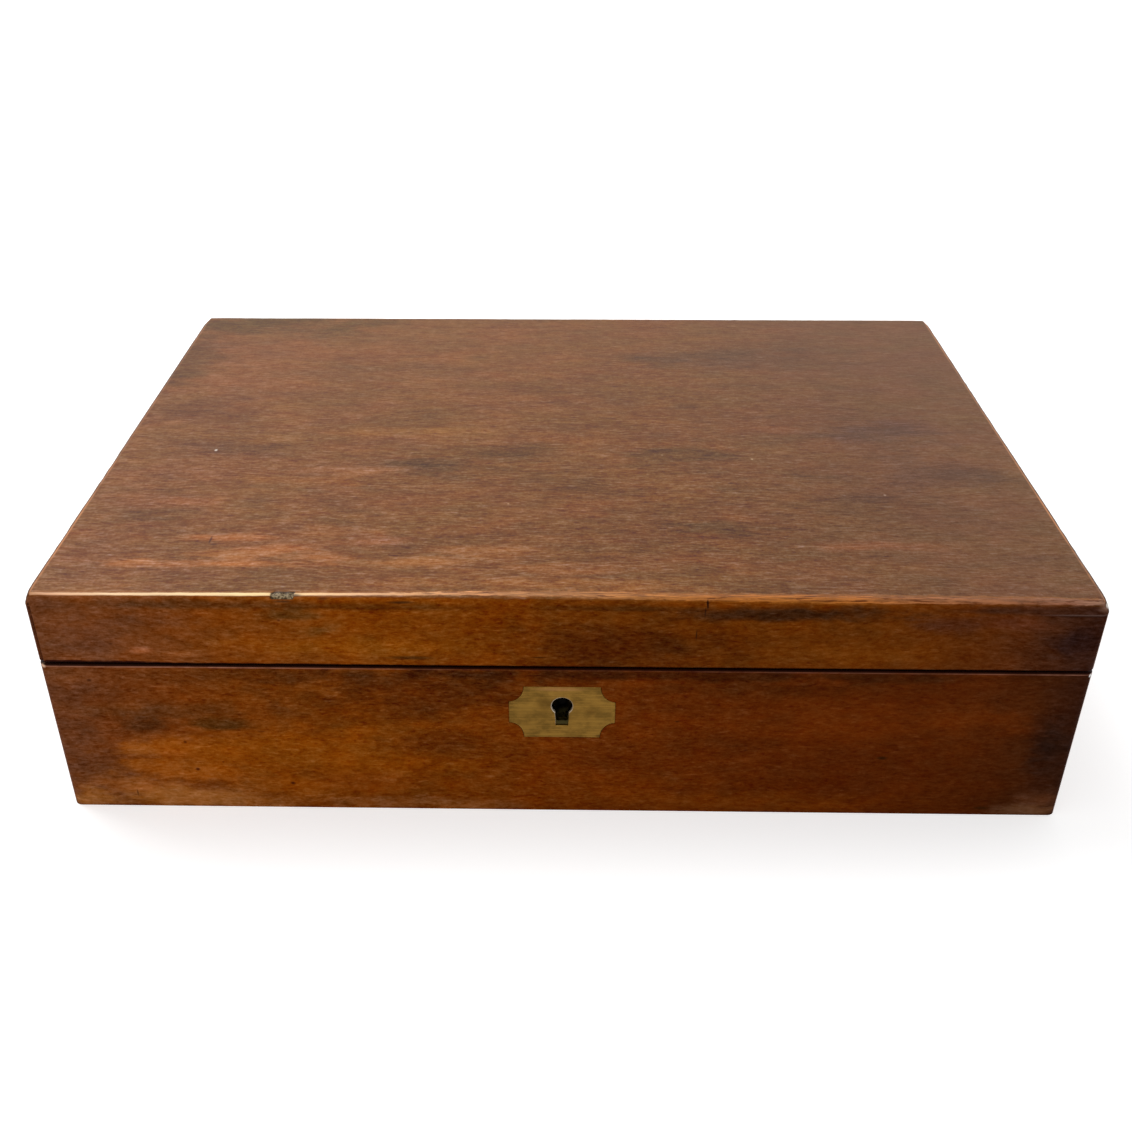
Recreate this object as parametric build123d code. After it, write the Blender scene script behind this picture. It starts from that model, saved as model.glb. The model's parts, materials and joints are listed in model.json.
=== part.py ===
from build123d import *
from math import atan, cos, sin, tan
import os

# A writing slope: a mahogany box sawn in two along a sloping seam, hinged at the back.
# X is the width, the lock faces -Y, Z is up and the box stands on Z = 0. Lengths are in millimetres.

# Case
width = 349.0
depth = 254.0
height = 88.6
seam_height = 62.1  # middle of the seam at the lock side
seam_gap = 0.9  # between the two rims
wall = 9.5
corner_radius = 3.0
top_arris = 2.5
rim_arris = 0.4
bottom_thickness = 6.0
bottom_rebate = 4.5  # how far the bottom board reaches into the walls
top_lip = 3.9  # edge of the top board that lies on the walls
top_tongue = 3.1  # its thicker middle, which drops between them

# Main hinges
hinge_spread = 236.0
hinge_length = 38.0
hinge_leaf = 1.5
hinge_reach = 8.2
hinge_outset = 0.45  # pin centre outside the back face
hinge_knuckles = 5
knuckle_diameter = 4.6
knuckle_gap = 0.15
knuckle_room = 0.35  # wood round the knuckles
hinge_pin = 2.0
pin_room = 0.03

# Countersunk screws: shank, head and length
hinge_screw = (2.4, 4.6, 9.0)
hinge_screw_inset = 5.0
hinge_screw_pitch = 14.0
lock_screw = (2.0, 3.8, 7.0)
flap_screw = (1.3, 2.7, 4.2)
screw_sides = 12
screw_slot = 0.5
screw_slot_depth = 0.5

# Writing flaps
flap_drop = 0.8  # writing surface below the rim
flap_thickness = 5.0
flap_room = 0.6
flap_joint = 0.8  # gap at the hinged edge
leather_border = 16.0
leather_thickness = 0.8
rail_width = 10.0
rail_height = 12.0
ledge_width = 7.0
ledge_height = 8.0
tab_width = 14.0
tab_hold = 13.0
tab_reach = 8.0
tab_thickness = 0.6

# Flap hinges
flap_hinge_length = 25.0
flap_hinge_leaf = 0.9
flap_hinge_reach = 8.0
flap_hinge_knuckles = 3
flap_knuckle = 2.6
flap_pin = 1.2
flap_screw_pitch = 15.0
base_flap_hinge_spread = 200.0
lid_flap_hinge_spread = 130.0  # nearer, so that the knuckles don't meet

# Pen and ink strip
strip_width = 44.0
partition_thickness = 7.0
partition_lip = 3.0
ink_cell = 44.0
divider_thickness = 4.0
housing = 2.0  # grooves that hold the partition and the dividers
cleat = 5.0
tray_room = 0.6
tray_base = 38.0
tray_height = 16.0
trough_radius = 20.0
trough_depth = 10.0
trough_end = 14.0
thumb_radius = 7.0
thumb_width = 20.0
lid_strip_width = 16.0
lid_strip_lip = 10.0

# Ink bottles
bottle_side = 40.0
bottle_corner = 4.0
bottle_body = 33.0
bottle_shoulder = 3.0
bottle_glass = 3.0
bottle_neck = 20.0
bottle_neck_rise = 7.0
bottle_bore = 13.0
cap_diameter = 25.0
cap_height = 9.0
cap_top = 2.4
cap_dome = 1.2
cap_room = 0.3
cap_bead = 1.2

# Escutcheon and keyhole
escutcheon_width = 36.0
escutcheon_height = 21.4
escutcheon_centre = 43.6
escutcheon_thickness = 1.2
notch_width = 5.0
notch_height = 6.2
keyhole_height = 46.2
keyhole_radius = 3.5
keyhole_drop = 8.3
keyhole_slot_top = 4.8
keyhole_slot_foot = 4.2
keyhole_corner = 0.7

# Lock
lock_plate_length = 64.0
lock_plate_thickness = 1.4
lock_plate_foot = 30.5
selvedge_width = 7.6
selvedge_thickness = 1.5
case_length = 50.0
case_foot = 33.0
case_room = 4.0  # inside depth
cap_plate = 1.0
cap_keyhole_room = 0.4
lock_screw_inset = 3.6
plate_screw_heights = (36.5, 46.5)
key_pin = 2.6
stud_diameter = 2.6
stud_spread = 32.0
bolt_thickness = 2.2
bolt_length = 40.0
bolt_foot = 50.0
bolt_offset = 1.0
bolt_room = 0.4
bolt_catch = 2.6  # metal above the hook's lip
talon_width = 6.4
talon_height = 4.6
spring_thickness = 0.4
spring_length = 9.0
spring_pocket = 2.4
hook_spread = 22.0
hook_stem = 2.4
hook_lip = 3.6
hook_lip_height = 2.4
hook_thickness = 2.0
hook_room = 0.3
bolt_travel = 3.8
hook_slot_room = 0.8

# Places worked out from the sizes above
hinge_proud = hinge_outset + knuckle_diameter / 2
front_y = -(depth + hinge_proud) / 2
back_y = front_y + depth
middle_y = (front_y + back_y) / 2
hinge_y = back_y + hinge_outset
hinge_z = height / 2
inner_x = width / 2 - wall
inner_front = front_y + wall
inner_back = back_y - wall
seam_angle = atan((seam_height - hinge_z) / (hinge_y - front_y))
seam = Plane(
    origin=(0, hinge_y, hinge_z),
    x_dir=(1, 0, 0),
    z_dir=(0, sin(seam_angle), cos(seam_angle)),
)
rim = seam_gap / 2
surface = rim + flap_drop
flap_under = surface + flap_thickness
flap_axis = -(hinge_outset + wall + rail_width + flap_joint / 2)
partition_front = inner_front + strip_width
partition_back = partition_front + partition_thickness
cell_x = inner_x - ink_cell
divider_x = cell_x - divider_thickness
lock_depth = lock_plate_thickness + case_room + cap_plate
lock_y = inner_front - lock_plate_thickness - case_room / 2
BASE = -1
LID = 1


def block(x, y, z):
    """A block between two limits on each axis, given in either order."""
    spans = [(min(span), max(span)) for span in (x, y, z)]
    middle = [(low + high) / 2 for low, high in spans]
    size = [high - low for low, high in spans]
    return Pos(*middle) * Box(*size)


def sloped(u, v, w):
    """A block along the seam: v runs back from the hinge pins, w up from the seam."""
    return seam.location * block(u, v, w)


def layer(side, near, far=2 * height):
    """All of one half of the box between two distances from the middle of the seam."""
    return sloped((-width, width), (-2 * depth, depth), (side * near, side * far))


def seam_z(y, w=0.0):
    """Height, at depth y, of the plane that lies w above the middle of the seam."""
    return hinge_z + (hinge_y - y) * tan(seam_angle) + w / cos(seam_angle)


def seam_v(y, w):
    """Distance along the seam of the point that lies at depth y and w above the seam."""
    return (y - hinge_y - w * sin(seam_angle)) / cos(seam_angle)


def upright(sketch, front, back):
    """A sketch drawn in X and Z, carried from one depth to another."""
    return extrude(Plane.XZ.offset(-back) * sketch, back - front)


def screw_blank(kind):
    """A blunt countersunk screw without its slot, head upwards at the origin."""
    shank, head, length = kind
    cone = (head - shank) / 2
    top = RegularPolygon(head / 2, screw_sides)
    foot = Pos(0, 0, -cone) * RegularPolygon(shank / 2, screw_sides)
    return loft([foot, top], ruled=True) + extrude(foot, cone - length)


def screws(kind, places):
    """The slotted screws at these places, and the blanks that cut their holes."""
    blank = screw_blank(kind)
    slot = Box(kind[1] + 1, screw_slot, 2 * screw_slot_depth)
    return [place * (blank - slot) for place in places], [place * blank for place in places]


def group(solids):
    return Compound(children=list(solids))


# The case


def half_form(side):
    """The outside of one half, with its worn arrises."""
    plan = Pos(0, middle_y) * RectangleRounded(width, depth, corner_radius)
    form = extrude(plan, height)
    form = fillet(form.faces().sort_by(Axis.Z)[-1].edges(), top_arris)
    form = form & layer(side, rim)
    rim_face = form.faces().sort_by(Axis.Z)[0 if side == LID else -1]
    return fillet(rim_face.edges(), rim_arris)


def mitred_boards(form):
    """Front, right, back and left boards, which meet on mitres at the corners."""

    def corners(inset):
        x = width / 2 - inset
        low = front_y + inset
        high = back_y - inset
        return [(-x, low), (x, low), (x, high), (-x, high)]

    outer = corners(0)
    inner = corners(wall)
    boards = []
    for i in range(4):
        j = (i + 1) % 4
        plan = Polygon(outer[i], outer[j], inner[j], inner[i], align=None)
        boards.append(extrude(plan, height) & form)
    return boards


def bottom_board():
    """Let into a rebate round the foot of the four walls."""
    reach = wall - bottom_rebate
    x = width / 2 - reach
    return block((-x, x), (front_y + reach, back_y - reach), (0, bottom_thickness))


def top_board(form):
    """A rebated board: its lip lies on the walls and its tongue drops between them."""
    lip = block((-width, width), (-depth, depth), (height - top_lip, height))
    tongue = block(
        (-inner_x, inner_x),
        (inner_front, inner_back),
        (height - top_lip - top_tongue, height - top_lip),
    )
    return (lip & form) + tongue


def interior(side):
    """The room between the walls of one half."""
    ceiling = height - top_lip - top_tongue
    room = block((-inner_x, inner_x), (inner_front, inner_back), (bottom_thickness, ceiling))
    return room & layer(side, rim)


# Hinges


def rolled_leaf(plate, radius, length, count, own, bore):
    """A leaf along X, rolled round the pin: own is 0 or 1, the first of its knuckles."""
    leaf = plate + Rot(0, 90, 0) * Cylinder(radius, length)
    pitch = length / count
    clear = radius + knuckle_gap
    for i in range(1 - own, count, 2):
        start = i * pitch - length / 2
        span = (start - knuckle_gap, start + pitch + knuckle_gap)
        leaf -= block(span, (-clear, clear), (-clear, clear))
    return leaf - Rot(0, 90, 0) * Cylinder(bore, 2 * length)


def main_leaf(side):
    """Half of a butt hinge, let in flush with the rim: the base has the outer knuckles."""
    half = hinge_length / 2
    plate = block((-half, half), (-hinge_reach, 0), (side * rim, side * (rim + hinge_leaf)))
    own = 0 if side == BASE else 1
    radius = knuckle_diameter / 2
    bore = hinge_pin / 2 + pin_room
    return rolled_leaf(plate, radius, hinge_length, hinge_knuckles, own, bore)


def main_mortise(side):
    """What a main hinge takes out of the back board."""
    half = hinge_length / 2
    plate = block((-half, half), (-hinge_reach, 0), (0, side * (rim + hinge_leaf)))
    channel = Cylinder(knuckle_diameter / 2 + knuckle_room, hinge_length + 2 * knuckle_room)
    return plate + Rot(0, 90, 0) * channel


def flap_leaf(side, moving):
    """Half of a flap hinge, which lies open and flush: the rail has the outer knuckles."""
    half = flap_hinge_length / 2
    reach = -flap_hinge_reach if moving else flap_hinge_reach
    plate = block((-half, half), (0, reach), (0, side * flap_hinge_leaf))
    own = 1 if moving else 0
    bore = flap_pin / 2 + pin_room
    leaf = rolled_leaf(plate, flap_knuckle / 2, flap_hinge_length, flap_hinge_knuckles, own, bore)
    return leaf


def flap_mortise(side):
    """What a flap hinge takes out of the rail and the flap."""
    half = flap_hinge_length / 2
    plate = block(
        (-half, half),
        (-flap_hinge_reach, flap_hinge_reach),
        (-side * flap_knuckle, side * flap_hinge_leaf),
    )
    channel = Cylinder(flap_knuckle / 2 + knuckle_room, flap_hinge_length + 2 * knuckle_room)
    return plate + Rot(0, 90, 0) * channel


def pin(diameter, length):
    return Rot(0, 90, 0) * Cylinder(diameter / 2, length)


def facing(side):
    """Turns a screw so that it goes into this half."""
    return Rot(0 if side == BASE else 180, 0, 0)


def main_hinges(side):
    """Leaves, mortises, pins and screw places of both main hinges in one half."""
    spots = [seam.location * Pos(x, 0, 0) for x in (-hinge_spread / 2, hinge_spread / 2)]
    leaves = [spot * main_leaf(side) for spot in spots]
    mortises = [spot * main_mortise(side) for spot in spots]
    pins = [spot * pin(hinge_pin, hinge_length) for spot in spots]
    places = [
        spot * Pos(i * hinge_screw_pitch, -hinge_screw_inset, side * rim) * facing(side)
        for spot in spots
        for i in (-1, 0, 1)
    ]
    return leaves, mortises, pins, places


def flap_hinges(side, spread):
    """Fixed leaves, moving leaves, mortises, pins and both sets of screw places."""
    spots = [
        seam.location * Pos(x, flap_axis, side * surface) for x in (-spread / 2, spread / 2)
    ]
    fixed = [spot * flap_leaf(side, False) for spot in spots]
    moving = [spot * flap_leaf(side, True) for spot in spots]
    mortises = [spot * flap_mortise(side) for spot in spots]
    pins = [spot * pin(flap_pin, flap_hinge_length) for spot in spots]
    inset = (flap_hinge_reach + flap_knuckle / 2) / 2

    def places(v):
        return [
            spot * Pos(i * flap_screw_pitch / 2, v, 0) * facing(side)
            for spot in spots
            for i in (-1, 1)
        ]

    return fixed, moving, mortises, pins, places(inset), places(-inset)


# Writing flaps and what carries them


def flap_end(side, stop_y):
    """Where a flap ends along the seam, clear of an upright face at stop_y."""
    return max(seam_v(stop_y + flap_room, side * w) for w in (surface, flap_under))


def flap_board(side, stop_y):
    """The board, sunk in its middle for the leather."""
    half = inner_x - flap_room
    end = flap_end(side, stop_y)
    start = flap_axis - flap_joint / 2
    return sloped((-half, half), (end, start), (side * surface, side * flap_under))


def leather(side, stop_y):
    """The writing leather, level with the border round it."""
    half = inner_x - flap_room - leather_border
    end = flap_end(side, stop_y) + leather_border
    start = flap_axis - flap_joint / 2 - leather_border
    w = (side * surface, side * (surface + leather_thickness))
    return sloped((-half, half), (end, start), w)


def tab(side, stop_y):
    """A leather tongue on the free edge, which lifts the flap."""
    end = flap_end(side, stop_y)
    length = tab_hold + tab_reach
    centre = end + (tab_hold - tab_reach) / 2
    plan = Pos(0, centre) * RectangleRounded(tab_width, length, 0.45 * tab_width)
    sheet = extrude(Pos(0, 0, side * surface) * plan, -side * tab_thickness)
    return seam.location * sheet


def hinge_rail(side):
    """The fixed strip along the back wall, to which a flap is hinged."""
    w = (side * surface, side * (surface + rail_height))
    start = flap_axis + flap_joint / 2
    return sloped((-width, width), (start, depth), w) & interior(side)


def ledges(side, from_y):
    """Strips along the side walls, on which a flap lies."""
    w = (side * flap_under, side * (flap_under + ledge_height))
    start = flap_axis + flap_joint / 2
    inner = inner_x - ledge_width
    strips = []
    for x in ((-inner_x, -inner), (inner, inner_x)):
        strip = sloped(x, (-2 * depth, start), w) & interior(side)
        strips.append(strip & block(x, (from_y, depth), (0, height)))
    return strips


def lid_strip():
    """Fixed strip at the lock side of the lid, rebated for the end of the flap."""
    back = inner_front + lid_strip_width
    strip = block((-inner_x, inner_x), (inner_front, back), (0, height))
    strip = strip & layer(LID, surface, flap_under + ledge_height) & interior(LID)
    seat = block((-width, width), (inner_front + lid_strip_lip, depth), (0, height))
    return strip - (seat & layer(LID, 0, flap_under))


# Pen and ink strip


def pen_partition():
    """Upright board behind the pens, housed in the side walls and rebated for the flap."""
    x = inner_x + housing
    board = block((-x, x), (partition_front, partition_back), (bottom_thickness, height))
    board = board & layer(BASE, surface)
    seat = block((-width, width), (partition_front + partition_lip, depth), (0, height))
    return board - (seat & layer(BASE, 0, flap_under))


def ink_dividers():
    """Cross boards beside the ink cells, housed in the front wall and the partition."""
    y = (inner_front - housing, partition_front + housing)
    boards = []
    for x in ((-cell_x, -divider_x), (divider_x, cell_x)):
        boards.append(block(x, y, (bottom_thickness, height)) & layer(BASE, surface))
    return boards


def tray_cleats():
    """Small bearers on the dividers, under the ends of the pen tray."""
    z = (tray_base - cleat, tray_base)
    y = (inner_front, partition_front)
    inner = divider_x - cleat
    return [block((-divider_x, -inner), y, z), block((inner, divider_x), y, z)]


def pen_tray():
    """A solid block with a round-ended trough and a thumb hollow at each end."""
    half = divider_x - tray_room
    y = (inner_front + tray_room, partition_front - tray_room)
    top = tray_base + tray_height
    middle = (inner_front + partition_front) / 2
    tray = block((-half, half), y, (tray_base, top))
    centre = top - trough_depth + trough_radius
    mouth = (trough_radius**2 - (centre - top) ** 2) ** 0.5
    run = half - trough_end - mouth
    tray -= Pos(0, middle, centre) * Rot(0, 90, 0) * Cylinder(trough_radius, 2 * run)
    for x in (-run, run):
        tray -= Pos(x, middle, centre) * Sphere(trough_radius)
    for x in (-half, half):
        tray -= Pos(x, middle, top) * Rot(90, 0, 0) * Cylinder(thumb_radius, thumb_width)
    return tray


def ink_bottle():
    """Square glass bottle with a round neck, standing at the origin."""
    side = RectangleRounded(bottle_side, bottle_side, bottle_corner)
    body = extrude(side, bottle_body)
    body = fillet(body.faces().sort_by(Axis.Z)[-1].edges(), bottle_shoulder)
    top = bottle_body + bottle_neck_rise
    body += Pos(0, 0, top / 2) * Cylinder(bottle_neck / 2, top)
    inner = bottle_side - 2 * bottle_glass
    hollow = RectangleRounded(inner, inner, bottle_corner / 2)
    body -= Pos(0, 0, bottle_glass) * extrude(hollow, bottle_body - 2 * bottle_glass)
    return body - Pos(0, 0, top) * Cylinder(bottle_bore / 2, 2 * (top - bottle_glass))


def ink_cap():
    """Turned brass screw cap with a bead and a low dome, its inside top at the origin."""
    radius = cap_diameter / 2
    rim_z = cap_top - cap_height
    outline = Polyline(
        (0, rim_z),
        (radius, rim_z),
        (radius, rim_z + cap_bead),
        (radius - cap_bead / 2, rim_z + 2 * cap_bead),
        (radius - cap_bead / 2, -cap_bead),
        (radius, 0),
        (radius, cap_top),
        (0, cap_top),
        close=True,
    )
    cap = revolve(Plane.XZ * make_face(outline), Axis.Z)
    dome_radius = (radius**2 + cap_dome**2) / (2 * cap_dome)
    cap &= Pos(0, 0, cap_top - dome_radius) * Sphere(dome_radius)
    bore = Cylinder(bottle_neck / 2 + cap_room, 2 * (cap_height - cap_top))
    return cap - Pos(0, 0, rim_z) * bore


# Escutcheon and lock


def keyhole(spread=0.0):
    """Round above and a slot that narrows downwards, grown by spread."""
    drop = keyhole_drop + spread
    top = keyhole_slot_top / 2 + spread
    foot = keyhole_slot_foot / 2 + spread
    slot = Polygon((-top, 0), (-foot, -drop), (foot, -drop), (top, 0), align=None)
    slot = fillet(slot.vertices().group_by(Axis.Y)[0], keyhole_corner)
    return Pos(0, keyhole_height) * (Circle(keyhole_radius + spread) + slot)


def escutcheon_outline():
    """A rectangle with a hollow bite out of each corner."""
    plate = Rectangle(escutcheon_width, escutcheon_height)
    for x in (-1, 1):
        for z in (-1, 1):
            corner = Pos(x * escutcheon_width / 2, z * escutcheon_height / 2)
            plate -= corner * Ellipse(notch_width, notch_height)
    return Pos(0, escutcheon_centre) * plate


def rim_strip(side, length, width_y, thickness):
    """A plate let in flush with one rim, on the lock side, back edge on the inner face."""
    x = (-length / 2, length / 2)
    y = (inner_front - width_y, inner_front)
    return block(x, y, (0, height)) & layer(side, rim, rim + thickness)


def hook_xs():
    """Left edges of the two hooks."""
    left = -hook_spread / 2 - (hook_stem + hook_lip) / 2
    return (left, left + hook_spread)


selvedge_under = seam_z(lock_y, -rim) - selvedge_thickness
bolt_top = selvedge_under - bolt_room
lip_top = bolt_top - bolt_catch - bolt_room
lip_foot = lip_top - hook_lip_height


def lock_plate():
    """Back plate and selvedge in one, with two slots for the hooks."""
    half = lock_plate_length / 2
    plate = block((-half, half), (inner_front - lock_plate_thickness, inner_front), (0, height))
    plate = plate & layer(BASE, rim) & block((-half, half), (-depth, 0), (lock_plate_foot, height))
    plate += rim_strip(BASE, lock_plate_length, selvedge_width, selvedge_thickness)
    y = hook_thickness / 2 + hook_slot_room
    for x in hook_xs():
        span = (x - hook_room, x + hook_stem + hook_lip + hook_room)
        plate -= block(span, (lock_y - y, lock_y + y), (bolt_top, height))
    return plate


def lock_case():
    """What the works take up, from the back plate to the cap."""
    half = case_length / 2
    room = block((-half, half), (inner_front - lock_depth, inner_front), (case_foot, height))
    return room & layer(BASE, rim + selvedge_thickness)


def lock_cap():
    """A shallow pressed tray over the works, open at the top and pierced for the key."""
    inner = case_length / 2 - cap_plate
    front = inner_front - lock_depth
    back = inner_front - lock_plate_thickness
    shell = lock_case() & block((-width, width), (front, back), (0, height))
    shell -= block((-inner, inner), (front + cap_plate, back), (case_foot + cap_plate, height))
    return shell - upright(keyhole(cap_keyhole_room), front - 1, back)


def lock_studs():
    """The two studs that carry the bolt."""
    z = bolt_foot - stud_diameter / 2
    y = inner_front - lock_plate_thickness
    turned = Rot(90, 0, 0) * Cylinder(stud_diameter / 2, case_room)
    return [Pos(x, y - case_room / 2, z) * turned for x in (-stud_spread / 2, stud_spread / 2)]


def key_post():
    """The pin that a pipe key turns on."""
    length = case_room + cap_plate
    y = inner_front - lock_plate_thickness - length / 2
    return Pos(0, y, keyhole_height) * Rot(90, 0, 0) * Cylinder(key_pin / 2, length)


def lock_bolt():
    """Sliding plate, unlocked: two cut-outs take the hooks, the talon takes the key."""
    x = (bolt_offset - bolt_length / 2, bolt_offset + bolt_length / 2)
    y = (lock_y - bolt_thickness / 2, lock_y + bolt_thickness / 2)
    bolt = block(x, y, (bolt_foot, bolt_top))
    for left in hook_xs():
        entry = (left - hook_room, left + hook_stem + hook_lip + hook_room)
        undercut = (left - hook_room, entry[1] + bolt_travel)
        bolt -= block(entry, y, (lip_top, height))
        bolt -= block(undercut, y, (lip_foot - bolt_room, bolt_top - bolt_catch))
    middle = bolt_travel / 2
    talon = (middle - talon_width / 2, middle + talon_width / 2)
    bolt -= block(talon, y, (0, bolt_foot + talon_height))
    pocket = (middle - spring_length / 2, middle + spring_length / 2)
    return bolt - block(pocket, y, (bolt_top - spring_pocket, height))


def bolt_spring():
    """A bowed strip that bears on the selvedge and keeps the bolt where the key leaves it."""
    foot = bolt_top - spring_pocket
    half = spring_length / 2 - bolt_room
    crown = selvedge_under - bolt_room / 2 - foot
    outer = ThreePointArc((-half, 0), (0, crown), (half, 0))
    inner = ThreePointArc((spring_thickness - half, 0), (0, crown - spring_thickness),
                          (half - spring_thickness, 0))
    feet = [Line(outer @ 0, inner @ 0), Line(outer @ 1, inner @ 1)]
    bow = Pos(bolt_travel / 2, foot) * make_face([outer, inner, *feet])
    y = bolt_thickness / 2 - bolt_room / 2
    return upright(bow, lock_y - y, lock_y + y)


def link_plate():
    """Plate in the lid's rim with two hooks, which drop through the selvedge."""
    plate = rim_strip(LID, lock_plate_length, selvedge_width, selvedge_thickness)
    y = (lock_y - hook_thickness / 2, lock_y + hook_thickness / 2)
    top = seam_z(lock_y, rim) + selvedge_thickness / 2
    for x in hook_xs():
        plate += block((x, x + hook_stem), y, (lip_foot, top))
        plate += block((x, x + hook_stem + hook_lip), y, (lip_foot, lip_top))
    return plate


def rim_screw_places(side):
    """Screws at the ends of the selvedge and of the link plate."""
    x = lock_plate_length / 2 - lock_screw_inset
    y = inner_front - selvedge_width / 2
    v = seam_v(y, side * rim)
    return [seam.location * Pos(i * x, v, side * rim) * facing(side) for i in (-1, 1)]


def plate_screw_places():
    """Screws through the ends of the back plate into the front board."""
    x = lock_plate_length / 2 - lock_screw_inset
    return [
        Pos(i * x, inner_front, z) * Rot(-90, 0, 0)
        for i in (-1, 1)
        for z in plate_screw_heights
    ]


# Assembly of the base

parts = {}
base_form = half_form(BASE)
front, right, back, left = mitred_boards(base_form)
bottom = bottom_board()
partition = pen_partition()
dividers = ink_dividers()
leaves, mortises, pins, places = main_hinges(BASE)
hinge_screws, hinge_holes = screws(hinge_screw, places)
base_flap = flap_hinges(BASE, base_flap_hinge_spread)
fixed, moving, flap_cuts, flap_pins, rail_places, flap_places = base_flap
rail_screws, rail_holes = screws(flap_screw, rail_places)
flap_screws, flap_holes = screws(flap_screw, flap_places)
lock_screws, lock_holes = screws(lock_screw, rim_screw_places(BASE) + plate_screw_places())
plate = lock_plate()
escutcheon = upright(escutcheon_outline(), front_y, front_y + escutcheon_thickness)

lock_recess = plate + lock_case() + lock_cap()
front = front - bottom - lock_recess - escutcheon - dividers - lock_holes
front -= rim_strip(BASE, lock_plate_length, selvedge_width, selvedge_thickness)
front -= upright(keyhole(), front_y, inner_front)
parts["base_front_board"] = front
parts["base_back_board"] = back - bottom - mortises - hinge_holes
parts["base_left_board"] = left - bottom - partition
parts["base_right_board"] = right - bottom - partition
parts["base_bottom_board"] = bottom
parts["escutcheon"] = escutcheon - upright(keyhole(), front_y - 1, inner_front)
parts["pen_partition"] = partition - dividers
parts["ink_divider_left"], parts["ink_divider_right"] = dividers
parts["pen_tray_cleats"] = group(tray_cleats())
parts["pen_tray"] = pen_tray()
parts["base_hinge_rail"] = hinge_rail(BASE) - flap_cuts - rail_holes
parts["base_ledge_left"], parts["base_ledge_right"] = ledges(BASE, partition_back)
parts["base_hinge_leaves"] = group(leaf - hinge_holes for leaf in leaves)
parts["base_hinge_screws"] = group(hinge_screws)
parts["main_hinge_pins"] = group(pins)

parts["lock_plate"] = plate - lock_holes
parts["lock_cap"] = lock_cap()
parts["lock_bolt"] = lock_bolt()
parts["bolt_spring"] = bolt_spring()
parts["bolt_studs"] = group(lock_studs())
parts["key_pin"] = key_post()
parts["lock_screws"] = group(lock_screws)

base_stop = partition_front + partition_lip
board = flap_board(BASE, base_stop) - leather(BASE, base_stop)
parts["base_flap_board"] = board - flap_cuts - flap_holes
parts["base_flap_leather"] = leather(BASE, base_stop)
parts["base_flap_tab"] = tab(BASE, base_stop)
parts["base_flap_rail_leaves"] = group(leaf - rail_holes for leaf in fixed)
parts["base_flap_hinge_leaves"] = group(leaf - flap_holes for leaf in moving)
parts["base_flap_hinge_pins"] = group(flap_pins)
parts["base_rail_screws"] = group(rail_screws)
parts["base_flap_screws"] = group(flap_screws)

# Ink bottles and their caps

bottle_x = inner_x - ink_cell / 2
bottle_y = (inner_front + partition_front) / 2
cap_z = bottom_thickness + bottle_body + bottle_neck_rise
for name, x in (("left", -bottle_x), ("right", bottle_x)):
    parts["ink_bottle_" + name] = Pos(x, bottle_y, bottom_thickness) * ink_bottle()
    parts["ink_cap_" + name] = Pos(x, bottle_y, cap_z) * ink_cap()

# Assembly of the lid

lid_form = half_form(LID)
top = top_board(lid_form)
front, right, back, left = [board - top for board in mitred_boards(lid_form)]
leaves, mortises, pins, places = main_hinges(LID)
hinge_screws, hinge_holes = screws(hinge_screw, places)
lid_flap = flap_hinges(LID, lid_flap_hinge_spread)
fixed, moving, flap_cuts, flap_pins, rail_places, flap_places = lid_flap
rail_screws, rail_holes = screws(flap_screw, rail_places)
flap_screws, flap_holes = screws(flap_screw, flap_places)
link_screws, link_holes = screws(lock_screw, rim_screw_places(LID))
link = link_plate()

parts["lid_top_board"] = top
parts["lid_front_board"] = front - link - link_holes
parts["lid_back_board"] = back - mortises - hinge_holes
parts["lid_left_board"] = left
parts["lid_right_board"] = right
parts["link_plate"] = link - link_holes
parts["link_plate_screws"] = group(link_screws)
parts["lid_hinge_leaves"] = group(leaf - hinge_holes for leaf in leaves)
parts["lid_hinge_screws"] = group(hinge_screws)
parts["lid_front_strip"] = lid_strip()
parts["lid_hinge_rail"] = hinge_rail(LID) - flap_cuts - rail_holes
lid_ledges = ledges(LID, inner_front + lid_strip_width)
parts["lid_ledge_left"], parts["lid_ledge_right"] = lid_ledges

lid_stop = inner_front + lid_strip_lip
board = flap_board(LID, lid_stop) - leather(LID, lid_stop)
parts["lid_flap_board"] = board - flap_cuts - flap_holes
parts["lid_flap_leather"] = leather(LID, lid_stop)
parts["lid_flap_tab"] = tab(LID, lid_stop)
parts["lid_flap_rail_leaves"] = group(leaf - rail_holes for leaf in fixed)
parts["lid_flap_hinge_leaves"] = group(leaf - flap_holes for leaf in moving)
parts["lid_flap_hinge_pins"] = group(flap_pins)
parts["lid_rail_screws"] = group(rail_screws)
parts["lid_flap_screws"] = group(flap_screws)

os.makedirs("parts", exist_ok=True)
for name, solid in parts.items():
    export_step(solid, f"parts/{name}.step")
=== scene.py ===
import json
from math import atan2, cos, pi, radians, sin

import bmesh
import bpy
import numpy as np
from mathutils import Matrix, Vector


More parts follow.
